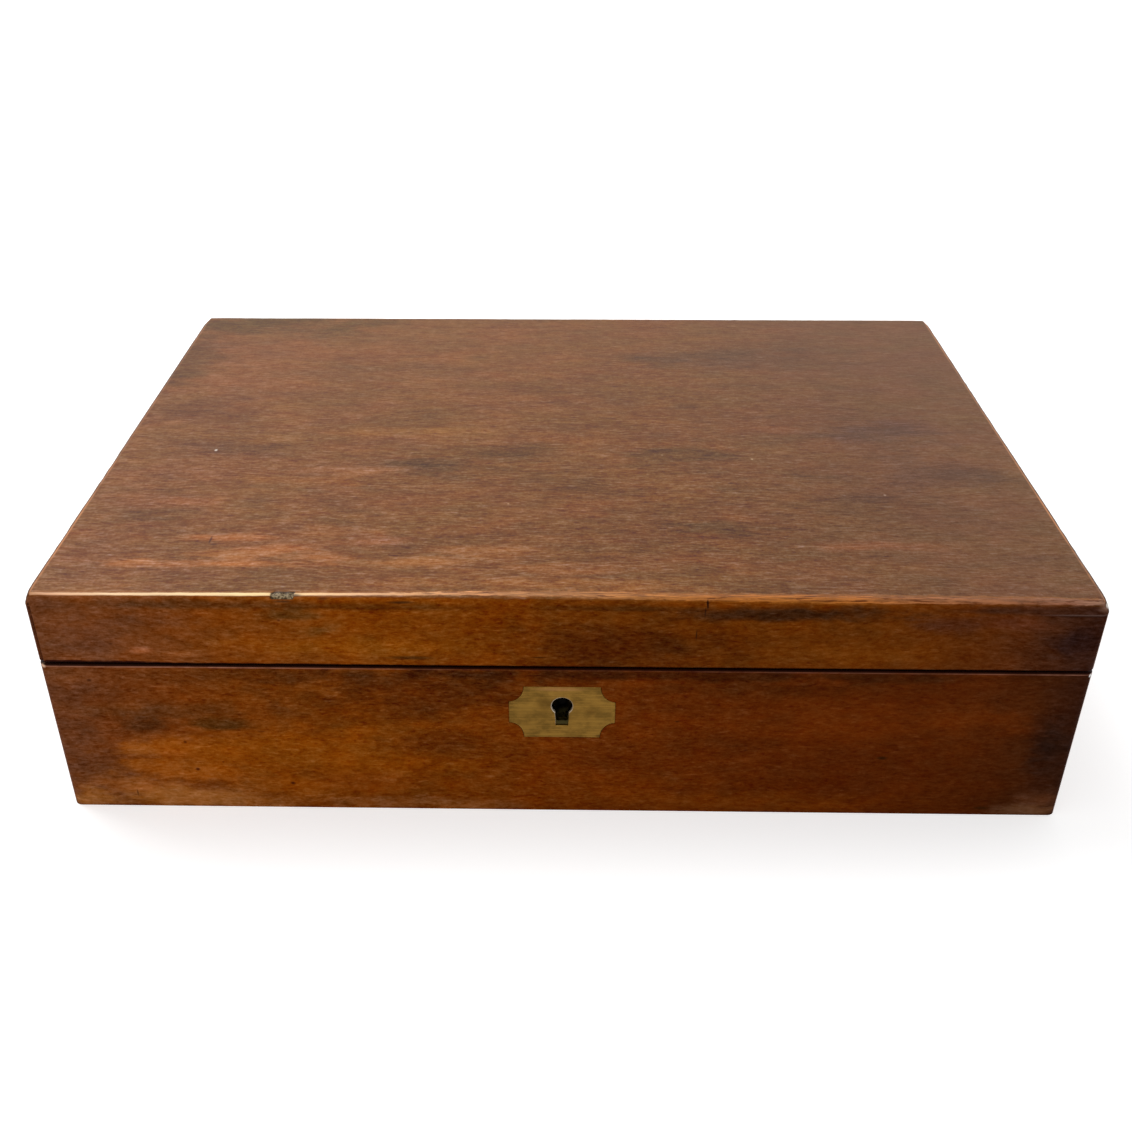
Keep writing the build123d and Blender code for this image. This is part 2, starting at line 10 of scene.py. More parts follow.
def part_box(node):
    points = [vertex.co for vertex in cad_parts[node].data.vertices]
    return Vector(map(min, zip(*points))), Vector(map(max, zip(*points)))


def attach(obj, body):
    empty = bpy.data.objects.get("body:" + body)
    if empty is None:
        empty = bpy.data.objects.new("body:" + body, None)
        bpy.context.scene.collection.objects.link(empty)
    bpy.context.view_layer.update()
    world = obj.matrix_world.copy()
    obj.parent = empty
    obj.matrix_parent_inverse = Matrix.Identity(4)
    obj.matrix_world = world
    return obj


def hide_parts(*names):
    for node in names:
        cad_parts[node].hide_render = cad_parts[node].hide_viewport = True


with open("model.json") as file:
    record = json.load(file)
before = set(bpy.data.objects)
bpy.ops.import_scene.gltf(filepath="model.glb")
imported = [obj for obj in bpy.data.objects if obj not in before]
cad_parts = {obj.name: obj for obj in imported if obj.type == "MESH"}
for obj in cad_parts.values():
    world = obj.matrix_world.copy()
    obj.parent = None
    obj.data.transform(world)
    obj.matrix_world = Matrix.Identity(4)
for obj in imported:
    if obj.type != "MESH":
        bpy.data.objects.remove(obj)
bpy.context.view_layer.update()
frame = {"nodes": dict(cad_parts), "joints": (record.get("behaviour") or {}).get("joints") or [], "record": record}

# A closed writing slope of old mahogany with a brass keyhole plate. Lengths are metres.
# X is the width, the lock faces -Y, Z is up, and the box stands on Z = 0.

MM = 0.001

# Case, read from the frame
top_low, top_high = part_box("lid_top_board")
base_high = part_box("base_front_board")[1]
lid_low, lid_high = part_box("lid_front_board")
plate_low, plate_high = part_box("escutcheon")
RIGHT = top_high.x
FRONT = top_low.y
BACK = top_high.y
HEIGHT = top_high.z
MIDDLE_Y = (FRONT + BACK) / 2
HALF_DEPTH = (BACK - FRONT) / 2
TOP_LIP_FOOT = lid_high.z
TOP_TONGUE_FOOT = top_low.z
CORNER = 3.0 * MM
ARRIS = 2.5 * MM
WALL = 9.5 * MM
lid_hinge = next(joint for joint in frame["joints"] if joint["name"] == "lid_hinge")
HINGE_Y, HINGE_Z = lid_hinge["pos_m"][1:]
SEAM_FRONT = (base_high.z + lid_low.z) / 2
SLOPE = atan2(SEAM_FRONT - HINGE_Z, HINGE_Y - FRONT)


def rgb(red, green, blue):
    """A colour as it shows on a screen, 0 to 255, as the linear values that a shader takes."""

    def linear(value):
        share = value / 255
        return share / 12.92 if share <= 0.04045 else ((share + 0.055) / 1.055) ** 2.4

    return (linear(red), linear(green), linear(blue), 1.0)


DARKEST, LIGHTEST = 0.0006, 0.98


def seen(colour, light, sheen):
    """The finish's own colour where it should show as this one, under this light and sheen."""
    own = [min(max(c - sheen, DARKEST) / light, LIGHTEST) for c in rgb(*colour)[:3]]
    return (*own, 1.0)


def on_top(*colour):
    """The wood's own colour where the top should show this one."""
    return seen(colour, 1.08, 0.045)


def on_front(*colour):
    """The wood's own colour where the front should show this one."""
    return seen(colour, 0.71, 0.0015)


# Numbers that repeat for the same seed

LINE_KNOTS, LINE_START = 4096, 1000.0
FIELD_KNOTS, FIELD_START = 512, 250.0


def eased(share):
    """An S-shaped climb from 0 to 1."""
    return share * share * (3 - 2 * share)


def rough_line(where, pitch, seed):
    """Smooth random values from 0 to 1 along a line: knots every pitch, eased between them."""
    knots = np.random.default_rng(seed).random(LINE_KNOTS)
    spot = np.asarray(where) / pitch + LINE_START
    knot = np.floor(spot).astype(int)
    ease = eased(spot - knot)
    return knots[knot % LINE_KNOTS] * (1 - ease) + knots[(knot + 1) % LINE_KNOTS] * ease


def rough_field(across, along, pitch_across, pitch_along, seed):
    """Smooth random values from 0 to 1 over a surface: a lattice of knots, eased between them."""
    knots = np.random.default_rng(seed).random((FIELD_KNOTS, FIELD_KNOTS))
    u = np.asarray(across) / pitch_across + FIELD_START
    v = np.asarray(along) / pitch_along + FIELD_START
    i, j = np.floor(u).astype(int), np.floor(v).astype(int)
    s, t = eased(u - i), eased(v - j)

    def between(j):
        near, far = i % FIELD_KNOTS, (i + 1) % FIELD_KNOTS
        return knots[near, j % FIELD_KNOTS] * (1 - s) + knots[far, j % FIELD_KNOTS] * s

    return between(j) * (1 - t) + between(j + 1) * t


def ease_between(value, low, high):
    """0 below low, 1 above high and an S-shaped climb between them."""
    return eased(np.clip((np.asarray(value) - low) / (high - low), 0, 1))


# Meshes

WELD = 1e-7
SLIVER = 1e-8


def placed(name, data):
    """An object with this data, in the scene."""
    made = bpy.data.objects.new(name, data)
    bpy.context.scene.collection.objects.link(made)
    return made


def mesh_piece(name, points, faces, attributes=(), smooth=True):
    """An object with these points, faces and named values at its points."""
    mesh = bpy.data.meshes.new(name)
    mesh.from_pydata(np.asarray(points).tolist(), [], faces)
    for label, values in dict(attributes).items():
        layer = mesh.attributes.new(label, "FLOAT", "POINT")
        layer.data.foreach_set("value", np.asarray(values, dtype=np.float32))
    built = bmesh.new()
    built.from_mesh(mesh)
    bmesh.ops.remove_doubles(built, verts=built.verts, dist=WELD)
    bmesh.ops.dissolve_degenerate(built, edges=built.edges, dist=SLIVER)
    bmesh.ops.recalc_face_normals(built, faces=built.faces)
    built.to_mesh(mesh)
    built.free()
    mesh.polygons.foreach_set("use_smooth", np.full(len(mesh.polygons), smooth))
    return placed(name, mesh)


def smooth_by_angle(piece, degrees):
    """Shades faces smooth but keeps edges sharper than this angle."""
    mesh = piece.data
    mesh.polygons.foreach_set("use_smooth", np.full(len(mesh.polygons), True))
    mesh.set_sharp_from_angle(angle=radians(degrees))


def ring_faces(rings, count):
    """Quads between closed rings of count points each, numbered ring after ring."""
    steps = np.arange(count)
    after = (steps + 1) % count
    faces = []
    for ring in range(rings - 1):
        start = ring * count
        near = [start + steps, start + after]
        far = [start + count + after, start + count + steps]
        faces.extend(np.stack(near + far, axis=1).tolist())
    return faces


def stand_for(piece, node, body, finish):
    """The piece takes a CAD node's place, rides its body and keeps the slot of its finish."""
    piece.data.materials.clear()
    piece.data.materials.append(finish)
    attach(piece, body)
    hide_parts(node)


# The top board, with its worn arris

TOP_BORDER = 6.0 * MM
FLAT_RINGS = (6.0, 5.2, 4.4, 3.7, 3.1)  # insets of the rings between the grid and the arris
CORNER_STEPS = 8
TOP_ROWS = 84
FLAT_ARC = -6.0  # what "arc" says over the flat, in millimetres: well before the arris
UNDER_ARC = 6 * MM  # the same below the lip, past the arris
HOLLOW_DEPTH = 0.12 * MM
HOLLOW_EASE = 20 * MM  # how far in the hollows reach their full depth
ARRIS_STEPS = 12
CHIP_CENTRE = -90.3 * MM
CHIP_HALF = 3.7 * MM
CHIP_DEPTH = 0.8 * MM
CHIP_RAGGED = 0.6 * MM
CHIP_WALL = 0.45 * MM
CHIP_START = (-1.7 * MM, -0.7 * MM)  # past the flat's end, as is CHIP_END
CHIP_END = (1.5 * MM, 2.4 * MM)
CORNER_WEAR = 1.5 * MM
CORNER_WEAR_REACH = 3.8 * MM
SIDE_WEAR, SIDE_WEAR_SWING = 0.12, 0.3  # millimetres
TURN_DOWN = (radians(8), radians(38))  # leans between which the arris turns to the side
even_columns = np.linspace(-1, 1, 421)
chip_columns = (CHIP_CENTRE + np.linspace(-5 * MM, 5 * MM, 41)) / RIGHT
TOP_COLUMNS = np.unique(np.concatenate([even_columns, chip_columns]))

# Wear along the lock-side arris: place along X and depth, in millimetres
FRONT_WEAR = [(-175, 0.2), (-120, 0.2), (-60, 0.25), (-20, 0.4), (30, 0.6), (90, 0.6), (175, 0.5)]
# Dents in the same arris: place along X, half length and depth, in millimetres
FRONT_DENTS = [
    (-43, 1.6, 0.3), (-18, 1.2, 0.4), (-12.5, 0.8, 0.35), (-4, 2.2, 0.45), (3, 1.4, 0.35),
    (9, 1.0, 0.3), (38, 0.9, 0.35), (46.3, 0.5, 0.6), (71, 1.6, 0.25), (103, 2.0, 0.3),
    (130.4, 1.0, 0.6), (146, 0.9, 0.45), (152, 0.8, 0.4),
]


def rim_walk(inset):
    """Points round the board at this inset: four straight runs joined by eased corners.

    Inside the corner's radius the corners are arcs, and further in they are sharp.
    """
    half_x = RIGHT - inset
    half_y = HALF_DEPTH - inset
    radius = max(CORNER - inset, 0)
    x, y = half_x - radius, half_y - radius
    along_x = TOP_COLUMNS
    along_y = np.linspace(-1, 1, TOP_ROWS + 1)
    turn = np.linspace(0, pi / 2, CORNER_STEPS + 1)[1:-1]
    runs = []
    for start, corner, run_x, run_y in (
        (-pi / 2, (x, -y), along_x * x, -half_y),
        (0, (x, y), half_x, along_y * y),
        (pi / 2, (-x, y), along_x[::-1] * x, half_y),
        (pi, (-x, -y), -half_x, -along_y * y),
    ):
        run_x, run_y = np.broadcast_arrays(run_x, run_y)
        arc_x = corner[0] + radius * np.cos(start + turn)
        arc_y = corner[1] + radius * np.sin(start + turn)
        runs += [np.column_stack([run_x, run_y]), np.column_stack([arc_x, arc_y])]
    walk = np.concatenate(runs)
    walk[:, 1] += MIDDLE_Y
    return walk


def front_wear_depth(x):
    """Depth of the wear along the lock-side arris at these places."""
    places, depths = np.array(FRONT_WEAR).T * MM
    ragged = 0.55 + 0.6 * rough_line(x, 9 * MM, 3) + 0.35 * rough_line(x, 2.3 * MM, 4)
    depth = np.interp(x, places, depths) * ragged
    for place, half, deep in FRONT_DENTS:
        depth += deep * MM * np.exp(-(((x - place * MM) / (half * MM)) ** 2))
    return depth


def chip_share(x):
    """1 inside the chip on the arris and 0 outside, with a ragged end."""
    away = np.abs(x - CHIP_CENTRE) + CHIP_RAGGED * (rough_line(x, 0.8 * MM, 8) - 0.5)
    return 1 - ease_between(away, CHIP_HALF - CHIP_WALL, CHIP_HALF)


def top_profile():
    """Inset, drop, lean of the surface and distance past the flat's end, ring by ring."""
    rings = [(inset * MM, 0.0, 0.0, ARRIS - inset * MM) for inset in FLAT_RINGS]
    for step in range(ARRIS_STEPS + 1):
        angle = step / ARRIS_STEPS * pi / 2
        rings.append((ARRIS * (1 - sin(angle)), ARRIS * (1 - cos(angle)), angle, ARRIS * angle))
    lip = HEIGHT - TOP_LIP_FOOT
    for drop in (ARRIS + 0.35 * (lip - ARRIS), ARRIS + 0.7 * (lip - ARRIS), lip):
        rings.append((0.0, drop, pi / 2, ARRIS * pi / 2 + drop - ARRIS))
    for inset, drop in ((WALL, lip), (WALL, HEIGHT - TOP_TONGUE_FOOT)):
        rings.append((inset, drop, None, UNDER_ARC))
    return rings


def from_sides(x, y):
    """How far these places lie from the nearer end and from the nearer long side."""
    return RIGHT - np.abs(x), HALF_DEPTH - np.abs(y - MIDDLE_Y)


def rim_wear(outline, fore):
    """Depth of the arris's wear round the board, and how much more its corners are worn."""
    steps = np.linalg.norm(np.diff(outline, axis=0), axis=1)
    distance = np.concatenate([[0], np.cumsum(steps)])
    ragged = rough_line(distance, 14 * MM, 5) * rough_line(distance, 3 * MM, 6)
    depth = (SIDE_WEAR + SIDE_WEAR_SWING * ragged) * MM
    depth = depth * (1 - fore) + front_wear_depth(outline[:, 0]) * fore
    from_end, from_side = from_sides(*outline.T)
    corner_depth = CORNER_WEAR * np.exp(-(from_end**2 + from_side**2) / CORNER_WEAR_REACH**2)
    return depth, corner_depth


def worn_top_board():
    """The board as rings round it: over the flat, round the arris, down the lip and under it.

    The arris is a quarter circle. Each of its points goes in along the surface's upright by the
    wear's depth times the sine of twice the lean, so the wear is deepest halfway round. The four
    corners wear deeper, and down to the lip's foot.
    """
    x = TOP_COLUMNS * (RIGHT - TOP_BORDER)
    y = np.linspace(FRONT + TOP_BORDER, BACK - TOP_BORDER, TOP_ROWS + 1)
    flat_x, flat_y = np.meshgrid(x, y)
    hollow = rough_field(flat_x, flat_y, 60 * MM, 45 * MM, 21) * HOLLOW_DEPTH
    edge = np.minimum(*from_sides(flat_x, flat_y))
    hollow *= ease_between(edge, TOP_BORDER, HOLLOW_EASE)
    points = [np.column_stack([flat_x.ravel(), flat_y.ravel(), HEIGHT - hollow.ravel()])]
    inner = np.zeros(flat_x.size)
    values = {label: [inner] for label in ("arc", "fore", "ahead", "aside", "chipped")}
    values["arc"] = [inner + FLAT_ARC]
    faces = []
    row = len(x)
    corner = np.arange(row - 1)
    for j in range(TOP_ROWS):
        start = j * row + corner
        faces.extend(np.stack([start, start + 1, start + row + 1, start + row], axis=1).tolist())

    outline = rim_walk(0)
    outward = outline - rim_walk(1.0 * MM)
    outward /= np.maximum(np.linalg.norm(outward, axis=1), 1e-9)[:, None]
    fore = ease_between(-outward[:, 1], 0.2, 0.9)
    depth, corner_depth = rim_wear(outline, fore)
    chipped = chip_share(outline[:, 0]) * fore
    count = len(outline)
    profile = top_profile()
    for inset, drop, lean, arc in profile:
        ring = rim_walk(inset)
        level = np.full(count, HEIGHT - drop)
        broken = np.zeros(count)
        down = 1.0
        if lean is not None:
            where = np.full(count, arc)
            crumbs = rough_field(outline[:, 0], where, 0.8 * MM, 0.5 * MM, 9)
            grit = rough_field(outline[:, 0], where, 1.6 * MM, 0.8 * MM, 12)
            broken = chipped * ease_between(arc, *CHIP_START) * (1 - ease_between(arc, *CHIP_END))
            inward = depth * sin(2 * lean) * (0.8 + 0.4 * grit)
            fall = 1 - ease_between(drop, ARRIS, HEIGHT - TOP_LIP_FOOT)
            inward = inward + corner_depth * sin(lean) * (1.3 - 0.5 * lean) * fall
            inward = inward + broken * CHIP_DEPTH * (0.4 + 0.8 * crumbs)
            ring = ring - outward * (inward * sin(lean))[:, None]
            level = level - inward * cos(lean)
            down = float(ease_between(lean, *TURN_DOWN))
        points.append(np.column_stack([ring, level]))
        values["arc"].append(np.full(count, arc / MM))
        values["fore"].append(fore)
        values["ahead"].append(fore * down)
        values["aside"].append((1 - fore) * down)
        values["chipped"].append(broken)
    base = flat_x.size
    faces += [[base + corner for corner in quad] for quad in ring_faces(len(profile), count)]
    last = base + (len(profile) - 1) * count
    faces.append(list(range(last, last + count))[::-1])
    values = {label: np.concatenate(parts) for label, parts in values.items()}
    return mesh_piece("worn_lid_top", np.concatenate(points), faces, values)


# The keyhole plate, let into the front

PLATE_GAP = 0.07 * MM
PLATE_ARRIS = 0.12 * MM
NOTCH_X = 5.0 * MM
NOTCH_Z = 6.2 * MM
KEYHOLE_Z = 46.2 * MM
KEYHOLE_RADIUS = 3.5 * MM
KEYHOLE_DROP = 8.3 * MM
KEYHOLE_HALF_TOP = 2.4 * MM
KEYHOLE_HALF_FOOT = 2.1 * MM
KEYHOLE_RUB = 0.34 * MM
PLATE_STEPS = 240


def plate_halves(gap):
    """Half the plate's width, and its reach above and below the keyhole's centre."""
    half_x = (plate_high.x - plate_low.x) / 2 - gap
    return half_x, plate_high.z - KEYHOLE_Z - gap, KEYHOLE_Z - plate_low.z - gap


def plate_reach(angle, gap):
    """How far the plate reaches from the keyhole's centre: a rectangle with elliptical bites."""
    cosine, sine = np.cos(angle), np.sin(angle)
    half_x, up, down = plate_halves(gap)
    reach = half_x / np.maximum(np.abs(cosine), 1e-9)
    reach = np.minimum(reach, np.where(sine > 0, up, down) / np.maximum(np.abs(sine), 1e-9))
    for side in (-1, 1):
        for corner_z in (up, -down):
            a, b = NOTCH_X + gap / 2, NOTCH_Z + gap / 2
            px, pz = side * half_x, corner_z
            square = (cosine / a) ** 2 + (sine / b) ** 2
            middle = -(cosine * px / a**2 + sine * pz / b**2)
            rest = (px / a) ** 2 + (pz / b) ** 2 - 1
            inside = middle**2 - square * rest
            hit = (-middle - np.sqrt(np.maximum(inside, 0))) / square
            reach = np.where((inside > 0) & (hit > 0), np.minimum(reach, hit), reach)
    return reach


def keyhole_reach(angle):
    """How far the keyhole reaches from its centre: a circle, and below it a tapering slot."""
    cosine, sine = np.cos(angle), np.sin(angle)
    taper = (KEYHOLE_HALF_TOP - KEYHOLE_HALF_FOOT) / KEYHOLE_DROP
    wall = KEYHOLE_HALF_TOP / np.maximum(np.abs(cosine) - taper * np.minimum(sine, 0), 1e-9)
    foot = KEYHOLE_DROP / np.maximum(-sine, 1e-9)
    slot = np.where(sine < 0, np.minimum(wall, foot), 0)
    return np.maximum(KEYHOLE_RADIUS, slot)


def keyhole_plate():
    """A plate as rings from its outer foot, over its face and down into the keyhole."""
    half_x, up, down = plate_halves(PLATE_GAP)
    key_points = [
        (sx * (half_x - dx), sz * (reach - dz))
        for sx in (-1, 1)
        for sz, reach in ((-1, down), (1, up))
        for dx, dz in ((0, NOTCH_Z), (NOTCH_X, 0))
    ]
    sharp = [atan2(z, x) for x, z in key_points]
    sharp += [atan2(-KEYHOLE_DROP, side * KEYHOLE_HALF_FOOT) for side in (-1, 1)]
    angle = np.unique(np.concatenate([np.linspace(-pi, pi, PLATE_STEPS + 1)[:-1], sharp]))
    outer = plate_reach(angle, PLATE_GAP)
    inner = keyhole_reach(angle)
    face, back, lean = plate_low.y, plate_high.y, PLATE_ARRIS
    rings = [(outer, back), (outer, face + lean)]
    rings += [(outer - lean * 0.35, face + lean * 0.35), (outer - lean, face)]
    rings += [(outer + (inner - outer) * share, face) for share in (0.25, 0.5, 0.75)]
    plain = len(rings) + 1
    rings += [(inner + KEYHOLE_RUB, face), (inner + KEYHOLE_RUB / 2, face)]
    rings += [(inner + lean * 0.7, face + lean * 0.5), (inner, face + lean * 1.6), (inner, back)]
    points = []
    for reach, depth in rings:
        x, z = reach * np.cos(angle), KEYHOLE_Z + reach * np.sin(angle)
        points.append(np.column_stack([x, np.full_like(angle, depth), z]))
    count = len(angle)
    rubbed = np.repeat(np.arange(len(rings)) >= plain, count).astype(float)
    faces = ring_faces(len(rings), count)
    last = (len(rings) - 1) * count
    faces += [[i, last + i, last + (i + 1) % count, (i + 1) % count] for i in range(count)]
    plate = mesh_piece("keyhole_plate", np.concatenate(points), faces, {"rubbed": rubbed})
    smooth_by_angle(plate, 25)
    return plate


# The lid's front board, with an open mitre at its left end

MITRE_GAP_LEFT = -173.5 * MM
MITRE_GAP_RIGHT = -172.15 * MM
MITRE_GAP_DEPTH = 1.6 * MM
JOIN = 1e-6


def merged_copy(node, name):
    """A copy of a CAD node's mesh, with its triangles joined."""
    mesh = frame["nodes"][node].data.copy()
    mesh.name = name
    built = bmesh.new()
    built.from_mesh(mesh)
    bmesh.ops.remove_doubles(built, verts=built.verts, dist=JOIN)
    built.to_mesh(mesh)
    built.free()
    return placed(name, mesh)


def block_piece(name, low, high):
    """A block between two corners, used to cut."""
    x, y, z = zip(low, high)
    points = [(x[i], y[j], z[k]) for i in (0, 1) for j in (0, 1) for k in (0, 1)]
    faces = [(0, 1, 3, 2), (4, 6, 7, 5), (0, 4, 5, 1), (2, 3, 7, 6), (0, 2, 6, 4), (1, 5, 7, 3)]
    return mesh_piece(name, points, faces, smooth=False)


def cut(piece, cutter):
    """Takes the cutter's shape out of the piece and throws the cutter away."""
    modifier = piece.modifiers.new("cut", "BOOLEAN")
    modifier.operation = "DIFFERENCE"
    modifier.solver = "EXACT"
    modifier.object = cutter
    bpy.context.view_layer.update()
    shaped = piece.evaluated_get(bpy.context.evaluated_depsgraph_get())
    shaped = bpy.data.meshes.new_from_object(shaped)
    piece.modifiers.clear()
    piece.data = shaped
    bpy.data.objects.remove(cutter)


def open_mitre_board():
    """The lid's front board, with the gap where its left mitre has opened."""
    board = merged_copy("lid_front_board", "lid_front_with_open_mitre")
    gap = block_piece(
        "mitre_gap",
        (MITRE_GAP_LEFT, FRONT - 1 * MM, SEAM_FRONT - 2 * MM),
        (MITRE_GAP_RIGHT, FRONT + MITRE_GAP_DEPTH, TOP_LIP_FOOT - 0.05 * MM),
    )
    cut(board, gap)
    smooth_by_angle(board, 40)
    return board


# Shader trees


class Tree:
    """Adds nodes to one node tree and joins them."""

    def __init__(self, tree):
        self.tree = tree

    def node(self, kind, inputs=(), **settings):
        made = self.tree.nodes.new(kind if kind.startswith("Node") else "ShaderNode" + kind)
        for name, value in settings.items():
            setattr(made, name, value)
        self.give(made, inputs)
        return made

    def feed(self, socket, value):
        if isinstance(value, bpy.types.NodeSocket):
            self.tree.links.new(value, socket)
        else:
            socket.default_value = value

    def give(self, node, inputs):
        for key, value in dict(inputs).items():
            self.feed(node.inputs[key], value)

    def math(self, operation, a, b=0.0, c=0.0):
        return self.node("Math", {0: a, 1: b, 2: c}, operation=operation).outputs[0]

    def product(self, *values):
        result = values[0]
        for value in values[1:]:
            result = self.math("MULTIPLY", result, value)
        return result

    def plus(self, a, b):
        return self.math("ADD", a, b)

    def minus(self, a, b):
        return self.math("SUBTRACT", a, b)

    def scaled(self, value, factor, more):
        return self.math("MULTIPLY_ADD", value, factor, more)

    def around(self, noise, weight):
        """A noise laid around nought, times its weight."""
        return self.product(self.minus(noise, 0.5), weight)

    def vector(self, operation, a, b=(0, 0, 0)):
        made = self.node("VectorMath", {0: a, 1: b}, operation=operation)
        return made.outputs["Value" if operation in ("DOT_PRODUCT", "LENGTH") else "Vector"]

    def stretched(self, vector, factors):
        return self.vector("MULTIPLY", vector, factors)

    def noise(self, vector, stretch, detail=2.0, roughness=0.5, output="Fac"):
        """Soft noise with so many cells to the metre along each axis."""
        inputs = {"Vector": self.stretched(vector, stretch), "Scale": 1.0}
        inputs |= {"Detail": detail, "Roughness": roughness}
        return self.node("TexNoise", inputs).outputs[output]

    def fade(self, value, low, high, bottom=0.0, top=1.0, kind="SMOOTHSTEP"):
        """Climbs from bottom to top as the value goes from low to high."""
        inputs = {"Value": value, "From Min": low, "From Max": high}
        inputs |= {"To Min": bottom, "To Max": top}
        return self.node("MapRange", inputs, interpolation_type=kind).outputs["Result"]

    def window(self, value, rise, fall):
        """1 between two fades, each given as the place where it is 0 and where it is 1."""
        return self.product(self.fade(value, *rise), self.fade(value, *fall))

    def mix(self, share, a, b, blend="MIX"):
        inputs = {0: share, 6: a, 7: b}
        return self.node("Mix", inputs, data_type="RGBA", blend_type=blend).outputs[2]

    def tinted(self, colour, tint):
        return self.mix(1.0, colour, tint, "MULTIPLY")

    def times(self, colour, factor):
        return self.tinted(colour, self.joined(factor, factor, factor))

    def ramp(self, value, stops):
        made = self.node("ValToRGB", {"Fac": value})
        band = made.color_ramp
        while len(band.elements) < len(stops):
            band.elements.new(0.5)
        for element, (place, colour) in zip(band.elements, stops):
            element.position = place
            element.color = colour
        return made.outputs["Color"]

    def use(self, group, inputs):
        return self.node("Group", inputs, node_tree=group).outputs

    def split(self, vector):
        return self.node("SeparateXYZ", {0: vector}).outputs

    def joined(self, x, y, z):
        return self.node("CombineXYZ", {0: x, 1: y, 2: z}).outputs[0]

    def value_of(self, attribute):
        return self.node("Attribute", attribute_name=attribute).outputs["Fac"]

    def place(self):
        return self.node("TexCoord").outputs["Object"]


def shader_group(name, inputs, outputs, build):
    """A node group: build takes its tree and its input sockets and returns what it puts out."""
    group = bpy.data.node_groups.new(name, "ShaderNodeTree")
    for way, kinds in (("INPUT", inputs), ("OUTPUT", outputs)):
        for kind, labels in kinds.items():
            for label in labels.split():
                group.interface.new_socket(label, in_out=way, socket_type="NodeSocket" + kind)
    t = Tree(group)
    results = build(t, t.node("NodeGroupInput").outputs)
    t.give(t.node("NodeGroupOutput"), results)
    return group


# How a lighter or darker part of the wood differs in red, green and blue: the finer, the greyer
FIGURE_TINT = (1.0, 0.54, 0.2)
STREAK_TINT = (1.0, 0.72, 0.5)
FIBRE_TINT = (1.0, 1.0, 1.0)
HUE_TINT = (-0.6, 0.25, 0.8)
PORE_DEPTH = 0.045
FLECK_HEIGHT = 0.05


def build_grain(t, given):
    """Wood grain along X, as a shade to add to the wood's colour on the screen's own scale.

    Figure, streaks, fibres and mottle are noise with more cells across the grain than along it,
    each around nought and times its weight. Pores take some away and flecks add some.
    """
    seed = t.joined(given["Seed"], given["Seed"], given["Seed"])
    place = t.vector("ADD", given["Vector"], t.stretched(seed, (0.37, 0.71, 0.53)))
    bend = t.noise(place, (10, 22, 22), 3, 0.42, "Color")
    bend = t.stretched(t.vector("SUBTRACT", bend, (0.5, 0.5, 0.5)), (0, 0.007, 0.007))
    place = t.vector("ADD", place, bend)
    parts = (
        ("Figure", FIGURE_TINT, t.noise(place, (32, 80, 80), 4, 0.6)),
        ("Streaks", STREAK_TINT, t.noise(place, (75, 330, 330), 3, 0.6)),
        ("Fibres", FIBRE_TINT, t.noise(place, (230, 900, 900), 3, 0.7)),
        ("Mottle", FIBRE_TINT, t.noise(place, (900, 700, 700), 2, 0.6)),
        ("Hue", HUE_TINT, t.noise(t.vector("ADD", place, (5.3, 2.9, 4.1)), (60, 150, 150), 3, 0.6)),
    )
    shade = (0, 0, 0)
    for weight, tint, noise in parts:
        shade = t.vector("ADD", shade, t.stretched(t.around(noise, given[weight]), tint))
    pores = t.fade(t.noise(place, (300, 1700, 1700), 2, 0.55), 0.56, 0.68)
    flecks = t.noise(t.vector("ADD", place, (3.1, 1.7, 2.3)), (160, 1000, 1000), 2, 0.55)
    marks = t.product(t.fade(flecks, 0.57, 0.7), FLECK_HEIGHT)
    marks = t.scaled(pores, -PORE_DEPTH, marks)
    shade = t.vector("ADD", shade, t.stretched(marks, FIBRE_TINT))
    return {"Shade": t.stretched(given["Contrast"], shade), "Fine": parts[2][2], "Pores": pores}


grain_group = shader_group(
    "wood_grain",
    {"Vector": "Vector Contrast", "Float": "Seed Figure Streaks Fibres Mottle Hue"},
    {"Vector": "Shade", "Float": "Fine Pores"},
    build_grain,
)

CLOUD_CORE, CLOUD_END = 0.2, 1.2  # in spreads from the centre


def build_cloud(t, given):
    """A cloud: 1 at its centre, fading out at its spread, with ragged edges."""
    away = t.vector("SUBTRACT", given["Vector"], given["Centre"])
    away = t.vector("LENGTH", t.vector("DIVIDE", away, given["Spread"]))
    return {"Mask": t.fade(t.plus(away, given["Ragged"]), CLOUD_END, CLOUD_CORE)}


cloud_inputs = {"Vector": "Vector Centre Spread", "Float": "Ragged"}
cloud_group = shader_group("cloud", cloud_inputs, {"Float": "Mask"}, build_cloud)


def build_rims(t, given):
    """Height over the middle of the seam, along the seam's own upright, and depth into the rim."""
    place = t.vector("SUBTRACT", given["Vector"], (0, HINGE_Y, HINGE_Z))
    x, y, z = t.split(given["Vector"])
    beside = t.minus(RIGHT, t.math("ABSOLUTE", x))
    ahead = t.minus(y, FRONT)
    behind = t.minus(BACK, y)
    return {
        "Height": t.vector("DOT_PRODUCT", place, (0, sin(SLOPE), cos(SLOPE))),
        "Inset": t.math("MINIMUM", beside, t.math("MINIMUM", ahead, behind)),
    }


rim_group = shader_group("rims", {"Vector": "Vector"}, {"Float": "Height Inset"}, build_rims)


def material(name):
    """An empty material, its tree and its Principled shader."""
    made = bpy.data.materials.new(name)
    made.use_nodes = True
    made.node_tree.nodes.clear()
    t = Tree(made.node_tree)
    shader = t.node("BsdfPrincipled")
    output = t.node("OutputMaterial")
    t.tree.links.new(shader.outputs[0], output.inputs["Surface"])
    return made, t, shader


def bumped(t, height, distance, strength=1.0):
    inputs = {"Height": height, "Distance": distance, "Strength": strength}
    return t.node("Bump", inputs).outputs["Normal"]


# Wood

